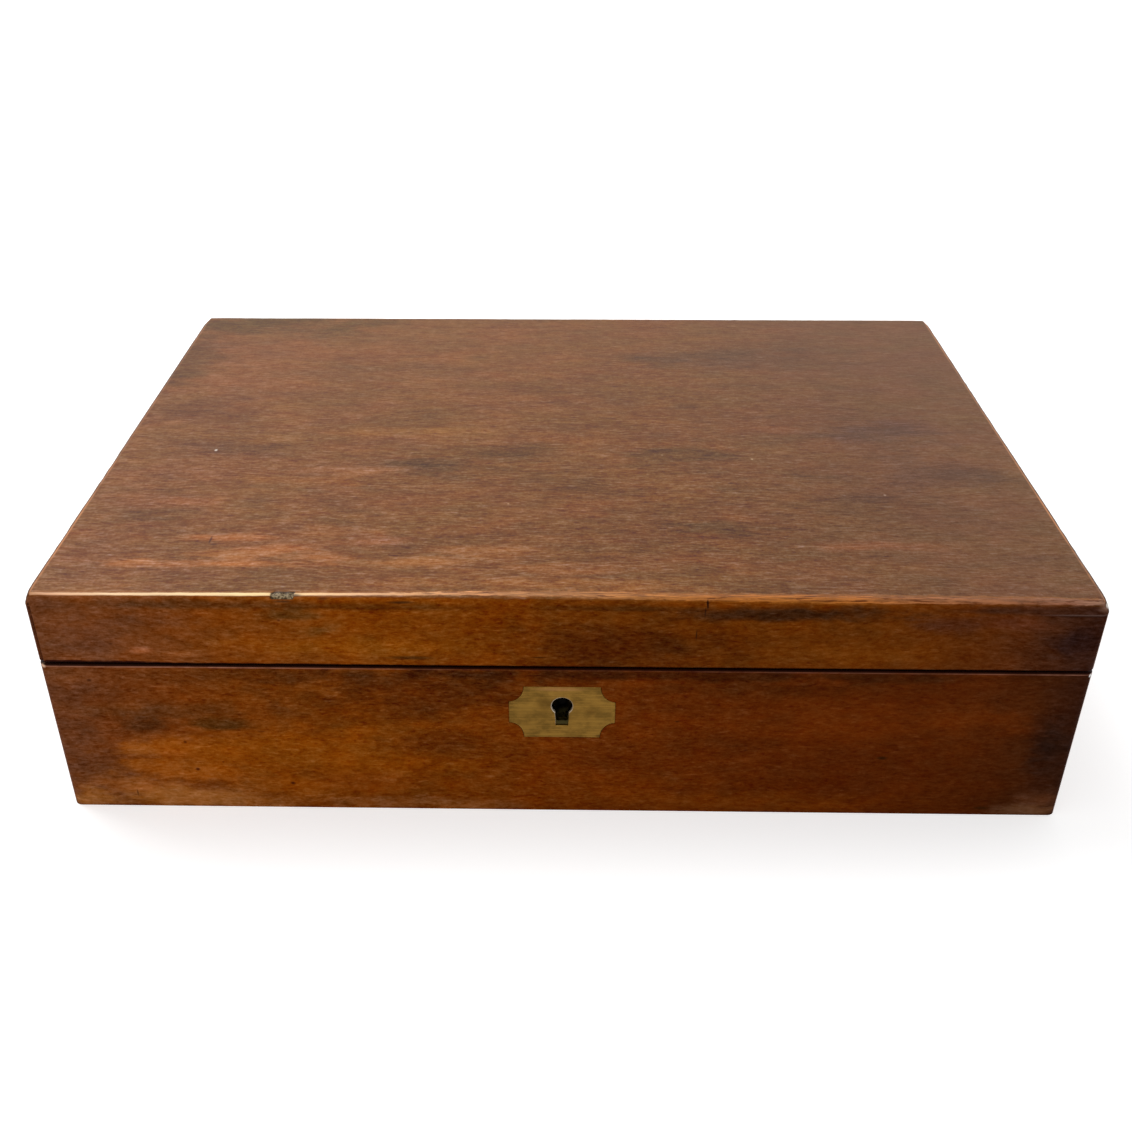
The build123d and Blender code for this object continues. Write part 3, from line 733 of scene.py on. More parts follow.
SCREEN_GAMMA = 2.2
THROUGH = 30  # half size of a cloud across its surface, so that it holds round the arris too
FINE = 2  # clouds no wider than this keep an even outline


def shaded(t, colour, shade):
    """The colour with the grain's shade added on the screen's own scale."""
    screen = t.node("Gamma", {"Color": colour, "Gamma": 1 / SCREEN_GAMMA}).outputs[0]
    screen = t.vector("MAXIMUM", t.vector("ADD", screen, shade), (0, 0, 0))
    return t.node("Gamma", {"Color": screen, "Gamma": SCREEN_GAMMA}).outputs[0]


def clouded(t, colour, place, clouds, ragged=0.0):
    """The colour with clouds mixed in: centre, spread, shade and strength, in millimetres."""
    for centre, spread, shade, strength in clouds:
        where = {"Centre": tuple(c * MM for c in centre), "Spread": tuple(s * MM for s in spread)}
        uneven = ragged if min(spread) > FINE else 0.0
        mask = t.use(cloud_group, {"Vector": place, "Ragged": uneven, **where})["Mask"]
        colour = t.mix(t.product(mask, strength), colour, shade)
    return colour


def along(t, place, table):
    """A value or colour that changes along X: stops are places in millimetres and colours."""
    share = t.fade(t.split(place)[0], -RIGHT, RIGHT, kind="LINEAR")
    return t.ramp(share, [((where * MM + RIGHT) / (2 * RIGHT), colour) for where, colour in table])


# Tables of stops along X, and of clouds and marks: a place and half sizes in the surface, in
# millimetres, the shade that shows there and its strength


def tones(shown, rows):
    return [(x, shown(*shade)) for x, *shade in rows]


def levels(rows):
    return [(x, (value, value, value, 1)) for x, value in rows]


def lying(rows):
    z = HEIGHT / MM
    return [((x, y, z), (a, b, THROUGH), on_top(*c), s) for x, y, a, b, c, s in rows]


def upright(rows):
    y = FRONT / MM
    return [((x, y, z), (a, THROUGH, b), on_front(*c), s) for x, z, a, b, c, s in rows]


TOP_TONES = tones(on_top, [
    (-172, 140, 97, 70), (-110, 135, 94, 67), (-40, 133, 93, 66), (40, 130, 91, 65),
    (110, 122, 88, 67), (172, 124, 91, 70),
])
TOP_CLOUDS = lying([
    (-51, -34, 34, 15, (100, 78, 46), 0.6), (-24, -20, 38, 9, (106, 80, 52), 0.5),
    (113, -66, 20, 14, (104, 76, 60), 0.45), (117, -54, 30, 8, (104, 78, 66), 0.4),
    (-145, -74, 24, 9, (114, 84, 52), 0.5), (79, 73, 54, 16, (110, 84, 68), 0.6),
    (130, -3, 28, 12, (104, 80, 72), 0.55), (139, -38, 24, 16, (100, 76, 66), 0.6),
    (30, 28, 44, 11, (116, 84, 64), 0.45), (46, -26, 30, 10, (100, 78, 48), 0.65),
    (-140, 117, 56, 16, (106, 82, 60), 0.9), (-170, 70, 20, 56, (108, 80, 56), 0.75),
    (-108, 32, 32, 8, (126, 90, 68), 0.4), (-79, 57, 42, 10, (124, 90, 68), 0.45),
    (-138, -19, 24, 9, (114, 82, 64), 0.75), (54, -82, 20, 7, (100, 78, 48), 0.6),
    (8, -54, 34, 8, (108, 78, 56), 0.6), (-116, -107, 36, 3.8, (190, 126, 84), 0.85),
    (-95, -97, 14, 3.5, (182, 120, 82), 0.7), (-112, -101, 24, 4.5, (182, 122, 80), 0.55),
    (-80, -84, 16, 4, (166, 114, 78), 0.6), (-116, -90, 16, 3.5, (188, 122, 80), 0.7),
    (-84, -102, 18, 4, (184, 122, 80), 0.75), (-64, -91, 16, 4.5, (174, 116, 82), 0.8),
    (-29, -97, 20, 5, (166, 114, 78), 0.6), (-47, -105, 22, 5, (172, 118, 78), 0.8),
    (-78, -38, 24, 5, (170, 118, 84), 0.7), (-141, -64, 18, 4.5, (168, 112, 80), 0.65),
    (-99, -47, 46, 5, (156, 104, 66), 0.45), (-62, -3, 36, 6, (152, 108, 68), 0.5),
    (-8, -119, 48, 5.5, (160, 108, 70), 0.75), (5, -109, 30, 4, (164, 112, 76), 0.75),
    (-150, 14, 26, 16, (110, 76, 54), 0.6), (103, -93, 24, 4, (150, 100, 74), 0.65),
    (86, -1, 18, 4, (138, 92, 70), 0.4),
])
TOP_MARKS = lying([
    (-135.9, -21.7, 0.7, 1.0, (226, 214, 200), 1.0), (72.2, -26.8, 0.6, 0.9, (190, 160, 130), 0.8),
    (37.9, -23.8, 0.6, 0.9, (176, 144, 112), 0.5), (117.1, -55.6, 0.6, 0.9, (180, 150, 130), 0.6),
    (-121.6, -91.5, 0.5, 3.2, (84, 60, 44), 0.8), (-119.8, -94.5, 1.8, 0.8, (92, 64, 46), 0.7),
    (62.0, -47.0, 1.4, 0.8, (88, 62, 46), 0.7), (-20.0, -64.0, 0.5, 0.8, (196, 160, 128), 0.6),
])

LID_TONES = tones(on_front, [
    (-173, 98, 56, 32), (-150, 104, 57, 28), (-112, 112, 56, 14), (-60, 114, 57, 9),
    (-22, 102, 49, 6), (0, 94, 45, 5), (60, 90, 43, 7), (100, 92, 45, 9), (135, 84, 40, 11),
    (152, 68, 34, 16), (172, 50, 26, 17),
])
LID_CLOUDS = upright([
    (168, 74, 10, 9, (38, 21, 18), 0.75), (-118, 85.6, 44, 2.2, (66, 38, 16), 0.65),
    (-60, 85.4, 40, 1.9, (64, 34, 8), 0.6), (-88, 82, 12, 2.6, (66, 42, 14), 0.6),
    (-138, 80, 18, 4, (84, 52, 34), 0.45), (20, 85.6, 30, 1.5, (58, 32, 10), 0.6),
    (72, 84, 40, 3.6, (42, 25, 14), 0.85), (145, 85.8, 26, 1.6, (46, 26, 18), 0.6),
    (174, 87.2, 3.2, 2.4, (120, 90, 76), 0.7), (126, 80, 16, 4, (62, 34, 24), 0.6),
    (147, 81, 14, 3, (90, 46, 26), 0.6), (-139, 67.8, 4.5, 1.7, (152, 92, 60), 0.75),
    (-124, 66.5, 12, 1.6, (140, 78, 34), 0.5), (-66, 70, 50, 5, (128, 68, 10), 0.6),
    (-80, 76, 9, 3, (78, 50, 16), 0.5), (20, 71, 46, 11, (68, 30, 4), 0.8),
    (96, 69, 34, 5, (104, 52, 8), 0.5), (-155, 74, 14, 10, (100, 58, 38), 0.35),
    (-50, 65.6, 9, 1.0, (44, 24, 8), 0.7),
])
ARRIS_CRACK = upright([
    (46.3, 87.0, 0.42, 1.5, (38, 16, 8), 1.0), (45.6, 84.2, 0.34, 2.2, (44, 20, 9), 0.85),
])
LID_MARKS = ARRIS_CRACK + upright([
    (43.3, 75.6, 0.32, 2.4, (40, 20, 10), 0.8), (-148.5, 70.2, 0.9, 0.5, (70, 34, 14), 0.8),
    (-92, 80.0, 0.7, 0.6, (74, 30, 8), 0.8), (-8, 66.2, 3.0, 0.4, (40, 20, 6), 0.7),
])

BASE_TONES = tones(on_front, [
    (-173, 92, 50, 26), (-150, 99, 50, 19), (-110, 108, 53, 11), (-60, 108, 52, 7),
    (-20, 101, 47, 4), (0, 95, 42, 3), (50, 87, 37, 2), (100, 80, 33, 2), (140, 74, 31, 4),
    (158, 62, 28, 9), (172, 46, 22, 12),
])
BASE_CLOUDS = upright([
    (-128, 42, 40, 5, (80, 45, 18), 0.5), (-146, 45, 6, 3, (124, 66, 26), 0.5),
    (-138, 17, 18, 6, (146, 80, 28), 0.85), (-150, 9, 17, 6, (156, 90, 40), 0.9),
    (-141, 26, 18, 4.5, (150, 84, 30), 0.8), (-124, 15, 24, 5, (142, 74, 18), 0.8),
    (-126, 25, 18, 6, (148, 76, 20), 0.75), (-163, 12, 12, 7, (112, 62, 28), 0.6),
    (-166, 2.6, 12, 3.4, (138, 88, 46), 0.6), (-132, 4, 48, 5.5, (150, 92, 42), 0.9),
    (-95, 9, 26, 7, (134, 70, 16), 0.8), (-48, 2.4, 44, 3.4, (128, 76, 36), 0.8),
    (40, 5, 84, 5.5, (106, 50, 8), 0.75), (167, 7, 10, 5, (86, 50, 30), 0.7),
    (-88, 25, 66, 14, (130, 66, 9), 0.85), (-42, 29, 26, 7, (80, 36, 3), 0.9),
    (-66, 12, 22, 5, (128, 64, 16), 0.7), (-163, 57, 13, 4, (120, 66, 32), 0.7),
    (-46, 51, 54, 12, (74, 33, 5), 0.9), (-90, 58, 90, 4, (80, 40, 12), 0.6),
    (45, 59.3, 130, 3.2, (52, 23, 6), 0.85), (66, 54, 60, 5, (58, 27, 5), 0.5),
    (166, 33, 9, 15, (38, 21, 14), 0.85), (168, 18, 10, 12, (46, 24, 14), 0.5),
    (68, 32, 17, 4.5, (66, 28, 3), 0.5), (162, 2.6, 14, 3.2, (104, 68, 44), 0.75),
    (10, 12, 60, 8, (110, 50, 4), 0.4), (98, 40, 60, 13, (96, 41, 4), 0.6),
    (-20, 30, 26, 9, (106, 48, 4), 0.3), (-142, 36.2, 14, 4.2, (62, 36, 18), 0.8),
    (-115, 37, 16, 3.4, (64, 40, 16), 0.8),
])
# Painted highlights: glints on the base's front corners at the seam
SEAM_GLINTS = upright([
    (-173.0, 60.9, 1.1, 0.8, (196, 160, 132), 0.9), (173.3, 60.5, 0.5, 0.8, (240, 222, 214), 1.0),
])
BASE_MARKS_AND_GLINTS = upright([
    (-127.4, 17.1, 1.0, 0.9, (70, 24, 6), 0.95), (-94.6, 11.2, 1.1, 0.9, (64, 22, 5), 0.95),
    (-130.1, 29.2, 0.7, 0.6, (72, 30, 8), 0.9), (110.1, 25.2, 2.2, 0.9, (40, 20, 6), 0.9),
    (-150.5, 6.0, 0.4, 1.9, (74, 40, 16), 0.8), (-158.5, 55.3, 1.0, 0.7, (60, 28, 12), 0.8),
    (-103, 34.2, 1.8, 0.5, (84, 36, 8), 0.7), (39, 40.2, 1.2, 0.5, (54, 22, 5), 0.8),
    (63, 28.0, 1.0, 0.6, (60, 20, 4), 0.7), (148, 3.0, 3.2, 1.0, (44, 24, 8), 0.7),
    (-118, 20.5, 0.5, 0.4, (80, 30, 8), 0.8),
]) + SEAM_GLINTS

# The two fronts: the grain's seed, how calm it is at the right, tones, clouds and marks
LID_FRONT = (4.0, 0.65, LID_TONES, LID_CLOUDS, LID_MARKS)
BASE_FRONT = (7.0, 0.5, BASE_TONES, BASE_CLOUDS, BASE_MARKS_AND_GLINTS)
FRONT_GRAIN = {"Figure": 0.17, "Streaks": 0.17, "Fibres": 0.3, "Mottle": 0.06, "Hue": 0.12}
TOP_GRAIN = {"Figure": 0.2, "Streaks": 0.2, "Fibres": 0.36, "Mottle": 0.14, "Hue": 0.055}
PLAIN_GRAIN = {"Figure": 0.22, "Streaks": 0.22, "Fibres": 0.3, "Mottle": 0.12, "Hue": 0.08}


def front_wood(t, place, seed, calm, stops, clouds, marks):
    """Colour and grain of the rubbed, polished front; the grain is calmer to the right."""
    lain = t.stretched(place, (1.5, 1, 1))
    contrast = t.fade(t.split(place)[0], -50 * MM, 140 * MM, 1.0, calm)
    contrast = t.stretched(contrast, (1.0, 1.0, 1.2))
    given = {"Vector": lain, "Seed": seed, "Contrast": contrast}
    grain = t.use(grain_group, given | FRONT_GRAIN)
    ragged = t.around(t.noise(place, (55, 55, 130), 4, 0.62), 2.2)
    colour = clouded(t, along(t, place, stops), place, clouds, ragged)
    colour = shaded(t, colour, grain["Shade"])
    # the marks; on the base's front they take in the painted glints at the seam
    return clouded(t, colour, place, marks), grain


# How far the painted shade in the seam reaches over a rim from the middle of the seam, and how
# much more near the left end; how far past it the line along the rim is whole and where it ends
LID_SHADE_REACH = (0.7 * MM, 0.5 * MM)
BASE_SHADE_REACH = (0.42 * MM, 0.1 * MM)
SEAM_SHADE_SOFT = 0.25 * MM
RIM_LINE_FULL = 0.45 * MM
RIM_LINE_END = 0.7 * MM
# Painted shade in the seam between lid and base
SEAM_SHADE = rgb(34, 9, 5)
SEAM_SHADE_WIDENS = (-126 * MM, -150 * MM)
SEAM_SHADE_LEFT_END = (-172.4 * MM, -171 * MM)
RIM_OUTSIDE = (2.4 * MM, 1.4 * MM)  # how far in from the box's faces the painted seam shade fades out and in


def rim_lines(t, colour, place, line, line_strength, lid):
    """Painted highlight along the base's rim, painted shade along the lid's and in the seam between."""
    rims = t.use(rim_group, {"Vector": place})
    height = t.product(rims["Height"], 1 if lid else -1)
    x = t.split(place)[0]
    wide = t.window(x, SEAM_SHADE_WIDENS, SEAM_SHADE_LEFT_END)
    breaks = t.fade(t.noise(place, (130, 130, 30), 3, 0.6), 0.36, 0.6, 0.45, 1.0)
    reach, more = LID_SHADE_REACH if lid else BASE_SHADE_REACH
    reach = t.scaled(wide, more, reach)
    mask = t.fade(height, t.plus(reach, RIM_LINE_END), t.plus(reach, RIM_LINE_FULL))
    # the painted line: highlight on the base's rim, shade on the lid's
    colour = t.mix(t.product(mask, breaks, line_strength), colour, line)
    outer = t.fade(rims["Inset"], *RIM_OUTSIDE)
    # painted shade in the seam between the rims
    seam_shade = t.product(t.fade(height, t.plus(reach, SEAM_SHADE_SOFT), reach), outer)
    return t.mix(t.product(seam_shade, 0.95), colour, SEAM_SHADE)


RELIEF = 0.05 * MM


def finish_wood(t, shader, colour, grain, roughness, specular):
    """Joins colour, roughness, gloss and relief to the shader."""
    height = t.scaled(grain["Fine"], 0.4, t.product(grain["Pores"], -1.0))
    t.give(shader, {
        "Base Color": colour,
        "Roughness": t.scaled(grain["Fine"], 0.08, roughness),
        "Specular IOR Level": specular,
        "Normal": bumped(t, height, RELIEF, 0.5),
    })


# The band along the front arris, a painted highlight to the left and worn wood to the right:
# place along X, where it starts and ends past the flat's end, in millimetres, its strength and
# its shade
ARRIS_WEAR_AND_HIGHLIGHT = [
    (-174, -0.1, 1.0, 0.6, (214, 160, 120)), (-165, 0.3, 1.3, 0.85, (236, 182, 142)),
    (-147, 0.1, 1.1, 1.0, (253, 210, 167)), (-99, -0.5, 0.9, 1.0, (255, 216, 160)),
    (-65, -0.8, 0.35, 0.95, (240, 188, 143)), (-49, -1.3, 0.2, 0.9, (218, 162, 114)),
    (-30, -2.4, 0.0, 0.95, (206, 144, 96)), (-10, -2.2, 0.2, 0.85, (180, 124, 80)),
    (9, -3.4, 0.6, 0.85, (174, 117, 72)), (28, -1.8, 1.1, 0.9, (178, 116, 64)),
    (50, -1.5, 1.3, 0.9, (174, 108, 56)), (73, -1.7, 1.8, 0.95, (172, 106, 52)),
    (95, -1.5, 1.9, 0.95, (168, 104, 56)), (114, -1.2, 1.8, 0.9, (160, 104, 68)),
    (133, -0.9, 1.9, 0.9, (158, 104, 72)), (149, -0.8, 1.8, 0.7, (146, 98, 72)),
    (163, -0.4, 1.9, 0.85, (160, 112, 90)), (174, -0.3, 2.0, 0.8, (184, 140, 116)),
]
BAND_SPAN = 10.0  # starts and ends are kept in a ramp as shares of this, from its middle
# A soft painted highlight on the flat, just before the band
HIGHLIGHT_GLOW = seen((172, 112, 66), 0.95, 0.02)
OCHRE = seen((158, 94, 40), 0.88, 0.01)
CRACK = seen((92, 50, 24), 0.9, 0.015)
# The thin line along the other arrises: partly wear, partly painted highlight
THIN_WEAR_AND_HIGHLIGHT = seen((186, 126, 84), 0.9, 0.02)
BAND_WORN = (-75 * MM, -30 * MM)  # the band is a smooth painted highlight to the left and worn to the right
OCHRE_ENDS = ((-40 * MM, 0.0, 0.3, 1.0), (130 * MM, 90 * MM, 0.35, 1.0))


def worn_band_and_highlight(t, place, rolled, worn):
    """The band's painted highlight and worn wood, with lines along it, and cracks where it's worn."""
    band_colour = along(t, place, [(x, seen(shade, 0.94, 0.015)) for x, *rest, shade in ARRIS_WEAR_AND_HIGHLIGHT])
    lines = t.noise(rolled, (0.09, 1.1, 1), 4, 0.66)
    swing = t.scaled(worn, 0.32, 0.1)
    low, high = t.minus(1.0, swing), t.scaled(swing, 0.75, 1.0)
    band_colour = t.times(band_colour, t.fade(lines, 0.38, 0.62, low, high, "LINEAR"))
    cracks = t.product(t.fade(t.noise(rolled, (0.11, 1.5, 7), 4, 0.6), 0.54, 0.6), worn, 0.85)
    return t.mix(cracks, band_colour, CRACK)


def arris_wear_and_highlights(t, colour, place):
    """Worn wood and painted highlight along the arrises: a band at the front, a thin broken
    line elsewhere.

    Before the band lies a soft painted highlight, and after it stands a thin line of ochre.
    """
    x, y, z = t.split(place)
    arc = t.value_of("arc")
    fore = t.value_of("fore")
    table = [
        (x_at, (start / BAND_SPAN + 0.5, end / BAND_SPAN + 0.5, strength, 1))
        for x_at, start, end, strength, shade in ARRIS_WEAR_AND_HIGHLIGHT
    ]
    start, end, strength = t.split(along(t, place, table))
    start = t.scaled(start, BAND_SPAN, -BAND_SPAN / 2)
    end = t.scaled(end, BAND_SPAN, -BAND_SPAN / 2)
    worn = t.fade(x, *BAND_WORN)
    ragged = t.noise(place, (190, 420, 420), 4, 0.65)
    ragged = t.around(ragged, t.scaled(worn, 2.4, 0.7))
    start = t.plus(start, ragged)
    end = t.scaled(ragged, 0.6, end)
    rolled = t.joined(t.product(x, 1 / MM), arc, 0.0)
    band_colour = worn_band_and_highlight(t, place, rolled, worn)

    def band(low, high, soft):
        rise = t.fade(arc, t.plus(low, -soft), t.plus(low, soft))
        fall = t.fade(arc, t.plus(high, soft), t.plus(high, -soft))
        return t.product(rise, fall, fore)

    # soft painted highlight just before the band
    highlight_glow = t.product(band(t.plus(start, -0.9), start, 0.5), 0.4)
    colour = t.mix(highlight_glow, colour, HIGHLIGHT_GLOW)
    lit = t.fade(t.noise(rolled, (0.06, 0.8, 3), 3, 0.6), 0.4, 0.6, 0.05, 0.42)
    lit = t.product(lit, t.window(x, *OCHRE_ENDS))
    ochre = t.product(band(end, t.plus(end, 0.6), 0.35), lit)
    colour = t.mix(ochre, colour, OCHRE)
    # the band: painted highlight to the left, worn wood to the right
    colour = t.mix(t.product(band(start, end, 0.25), strength), colour, band_colour)
    # thin line along the other arrises: partly wear, partly painted highlight, fainter at the back on the left
    breaks = t.fade(t.noise(place, (26, 26, 60), 4, 0.7), 0.36, 0.6, 0.15, 0.95)
    thin = t.window(arc, (-0.2, 0.3), (1.1, 0.7))
    faint = t.fade(y, 50 * MM, -90 * MM, 0.3, 1.0)
    faint = t.math("MAXIMUM", faint, t.fade(x, 0.0, 10 * MM, 0.0, 0.7))
    other = t.product(thin, t.minus(1.0, fore), breaks, faint)
    return t.mix(other, colour, THIN_WEAR_AND_HIGHLIGHT)


# Marks where the arris, the lip and the joint under it meet the front, and a painted highlight at
# the right corner: centre, half sizes, shade and strength
EDGE_MARKS_AND_GLINT = [
    ((x, FRONT / MM + y, z), half, seen(shade, 0.85, 0.0), strength)
    for x, y, z, half, shade, strength in (
        (-172.78, 0.3, 85.2, (0.42, 1.2, 0.75), (24, 10, 6), 1.0),
        # painted highlight: a glint on the right front corner
        (173.5, 2.1, 86.9, (0.7, 1.4, 1.1), (244, 226, 218), 0.95),
        (-77.2, 0.5, 87.9, (2.6, 1.2, 0.5), (64, 32, 14), 0.85),
        (130.4, 0.6, 88.0, (0.7, 1.2, 0.9), (40, 20, 12), 0.95),
        (146.0, 0.6, 88.0, (0.8, 1.2, 0.8), (60, 28, 18), 0.9),
        (-52.0, 0.5, 87.0, (5.5, 1.4, 0.5), (44, 22, 8), 0.8),
        (-86.5, 2.0, 88.6, (3.0, 0.8, 1.0), (70, 48, 34), 0.8),
        (-90.0, 0.7, 87.0, (4.2, 0.9, 0.5), (40, 26, 18), 0.8),
    )
]
UNDER_TOP = rgb(122, 76, 46)
# SIDE_SHADE is painted shade for where the top's lip turns to the sides and back
REDDER, GREENER, SIDE_SHADE = (1.05, 0.97, 1.0, 1), (0.97, 1.03, 0.9, 1), (0.45, 0.4, 0.36, 1)
TOP_SPECULAR, FRONT_SPECULAR = 0.17, 0.015
BROKEN_DARK, BROKEN_LIGHT, CHIP_RIM = rgb(70, 54, 36), rgb(150, 130, 98), rgb(60, 40, 24)


def chipped_wood(t, colour, place):
    """The broken wood in the chip, speckled, with a dark rim."""
    chip = t.value_of("chipped")
    speckle = t.fade(t.noise(place, (900, 900, 900), 3, 0.7), 0.4, 0.6)
    broken = t.mix(speckle, BROKEN_DARK, BROKEN_LIGHT)
    rim = t.window(chip, (0.1, 0.3), (0.75, 0.5))
    colour = t.mix(t.fade(chip, 0.25, 0.5), colour, broken)
    return t.mix(t.product(rim, 0.8), colour, CHIP_RIM)


def top_material():
    """The top board: its own wood on the flat, the front's wood below the front arris."""
    made, t, shader = material("mahogany_top")
    place = t.place()
    x, y, z = t.split(place)
    contrast = t.fade(y, BACK, FRONT, 0.72, 1.15)
    contrast = t.product(contrast, t.fade(x, 40 * MM, 150 * MM, 1.0, 0.62))
    contrast = t.stretched(contrast, (1.0, 1.25, 1.9))
    given = {"Vector": place, "Seed": 1.0, "Contrast": contrast}
    grain = t.use(grain_group, given | TOP_GRAIN)
    patches = t.noise(place, (30, 60, 60), 5, 0.65)
    colour = along(t, place, TOP_TONES)
    greener, redder = t.tinted(colour, GREENER), t.tinted(colour, REDDER)
    colour = t.mix(t.fade(patches, 0.34, 0.66), greener, redder)
    ragged = t.around(t.noise(place, (40, 110, 110), 4, 0.62), 2.6)
    colour = clouded(t, colour, place, TOP_CLOUDS, ragged)
    colour = shaded(t, colour, grain["Shade"])
    colour = clouded(t, colour, place, TOP_MARKS)
    arc, ahead = t.value_of("arc"), t.value_of("ahead")
    colour = t.mix(ahead, colour, front_wood(t, place, *LID_FRONT)[0])
    # painted shade where the top's lip turns to the sides and back
    colour = t.mix(t.value_of("aside"), colour, t.tinted(colour, SIDE_SHADE))
    colour = arris_wear_and_highlights(t, colour, place)
    cracked = clouded(t, colour, place, ARRIS_CRACK)
    colour = t.mix(t.fade(arc, 0.6, 0.9), colour, cracked)
    # marks at the front's edges, and the painted glint at the right corner
    colour = clouded(t, colour, place, EDGE_MARKS_AND_GLINT)
    colour = chipped_wood(t, colour, place)
    under = t.fade(z, TOP_LIP_FOOT, TOP_LIP_FOOT - 0.2 * MM)
    colour = t.mix(under, colour, shaded(t, UNDER_TOP, grain["Shade"]))
    below = t.math("MAXIMUM", ahead, t.fade(arc, 0.5, 1.5))
    specular = t.fade(below, 0.0, 1.0, TOP_SPECULAR, FRONT_SPECULAR)
    finish_wood(t, shader, colour, grain, 0.4, specular)
    return made


JOINT_SHOWN = (148 * MM, 164 * MM)
JOINT_LIGHT, JOINT_DARK = on_front(84, 64, 58), on_front(26, 13, 10)


def joint_line(t, colour, place):
    """The joint under the top board, which shows near the right end: light over dark."""
    x, y, z = t.split(place)
    over = t.minus(z, TOP_LIP_FOOT)
    shown = t.fade(x, *JOINT_SHOWN)
    light = t.window(over, (-0.75 * MM, -0.45 * MM), (0.1 * MM, -0.1 * MM))
    colour = t.mix(t.product(light, shown, 0.7), colour, JOINT_LIGHT)
    dark = t.window(over, (-1.3 * MM, -0.9 * MM), (-0.5 * MM, -0.75 * MM))
    return t.mix(t.product(dark, shown, 0.5), colour, JOINT_DARK)


# KEYHOLE_SHADE is painted shade inside the keyhole
KEYHOLE_SHADE, OLD_BRASS, BARE_BRASS = rgb(9, 8, 7), rgb(120, 108, 64), rgb(212, 200, 182)


def keyhole_painted_shade(t, colour, place):
    """Painted shade in the keyhole's wall: nearly black, and olive with old brass at its foot."""
    x, y, z = t.split(place)
    near = t.fade(t.math("ABSOLUTE", x), 5.2 * MM, 4.8 * MM)
    inside = t.product(near, t.fade(y, FRONT + 0.25 * MM, FRONT + 0.45 * MM))
    inside = t.product(inside, t.window(z, (34 * MM, 35 * MM), (52 * MM, 51 * MM)))
    # painted shade on the keyhole's wall, old brass at its foot
    wall = t.mix(t.fade(z, 41.5 * MM, 38 * MM), KEYHOLE_SHADE, OLD_BRASS)
    return t.mix(inside, colour, wall)


# Strength of the painted line along each front rim: painted shade on the lid's, painted highlight on the base's
SHADE_LINE_ON_LID = levels([(-174, 1.0), (-120, 0.95), (-60, 0.7), (0, 0.5), (172, 0.6)])
HIGHLIGHT_LINE_ON_BASE = levels([
    (-174, 0.5), (-150, 0.6), (-120, 0.8), (-85, 0.5), (-50, 0.25), (-20, 0.05), (30, 0.06),
    (70, 0.2), (120, 0.2), (150, 0.35), (172, 0.5),
])


def front_material(name, front, line_shade, line_table, lid):
    """A front board: its wood, the painted line and shade at its rim, and the top's joint or the keyhole."""
    made, t, shader = material(name)
    place = t.place()
    colour, grain = front_wood(t, place, *front)
    colour = rim_lines(t, colour, place, line_shade, along(t, place, line_table), lid)
    if lid:
        colour = joint_line(t, colour, place)
    else:
        # painted glints at the seam's corners, and painted shade in the keyhole
        colour = keyhole_painted_shade(t, clouded(t, colour, place, SEAM_GLINTS), place)
    finish_wood(t, shader, colour, grain, 0.45, FRONT_SPECULAR)
    return made


def toned(colour, factor, lift=0.0):
    """The colour made darker or brighter."""
    return (*(min(1.0, factor * c + lift) for c in colour[:3]), 1.0)


def plain_wood(name, seed, middle, swap, roughness, specular, rim=None):
    """Quiet mahogany: grain along X, or along Y when swapped, with slow clouds.

    The rim is "lid" or "base" where the board ends at the seam.
    """
    made, t, shader = material(name)
    place = t.place()
    x, y, z = t.split(place)
    lain = t.stretched(t.joined(y, x, z) if swap else place, (0.7, 1, 1))
    given = {"Vector": lain, "Seed": seed, "Contrast": (1, 1, 1)}
    grain = t.use(grain_group, given | PLAIN_GRAIN)
    cloud = t.fade(t.noise(lain, (14, 40, 40), 3, 0.5), 0.36, 0.66, 1.08, 0.8)
    colour = shaded(t, t.times(middle, cloud), grain["Shade"])
    if rim:
        # rim line: painted shade on the lid's rim, painted highlight on the base's
        line = toned(middle, 0.35) if rim == "lid" else toned(middle, 2.2, 0.04)
        colour = rim_lines(t, colour, place, line, 0.6, rim == "lid")
    finish_wood(t, shader, colour, grain, roughness, specular)
    return made


# Metal, leather and glass


def rubbed_keyhole(t, colour, place):
    """Bare brass that the key has rubbed: the slot's left edge, and fainter all round above it."""
    x, y, z = t.split(place)
    left = t.product(t.fade(x, 0.8 * MM, -0.8 * MM), t.fade(z, 38.2 * MM, 39.4 * MM))
    shown = t.math("MAXIMUM", left, t.fade(z, 41.5 * MM, 44 * MM, 0.0, 0.55))
    return t.mix(t.product(shown, t.value_of("rubbed"), 0.85), colour, BARE_BRASS)


def brass_material(name, tone, roughness, marks, rubbed=False):
    """Brass with fine level scratches, dull patches, a few stains and, on the lock, painted shade."""
    made, t, shader = material(name)
    place = t.place()
    scratches = t.noise(place, (60, 900, 3200), 3, 0.65)
    patches = t.noise(place, (190, 190, 300), 4, 0.62)
    dull, bright = toned(tone, 0.6), toned(tone, 1.5)
    colour = t.mix(t.fade(patches, 0.36, 0.68), tone, dull)
    colour = t.mix(t.fade(scratches, 0.5, 0.7, 0.0, 0.5), colour, bright)
    colour = t.mix(t.fade(scratches, 0.5, 0.32, 0.0, 0.4), colour, dull)
    colour = clouded(t, colour, place, marks)
    if rubbed:
        colour = rubbed_keyhole(t, colour, place)
    t.give(shader, {
        "Base Color": colour,
        "Metallic": 1.0,
        "Roughness": t.fade(patches, 0.3, 0.7, roughness, roughness + 0.15),
        "Normal": bumped(t, scratches, 0.03 * MM, 0.5),
    })
    return made


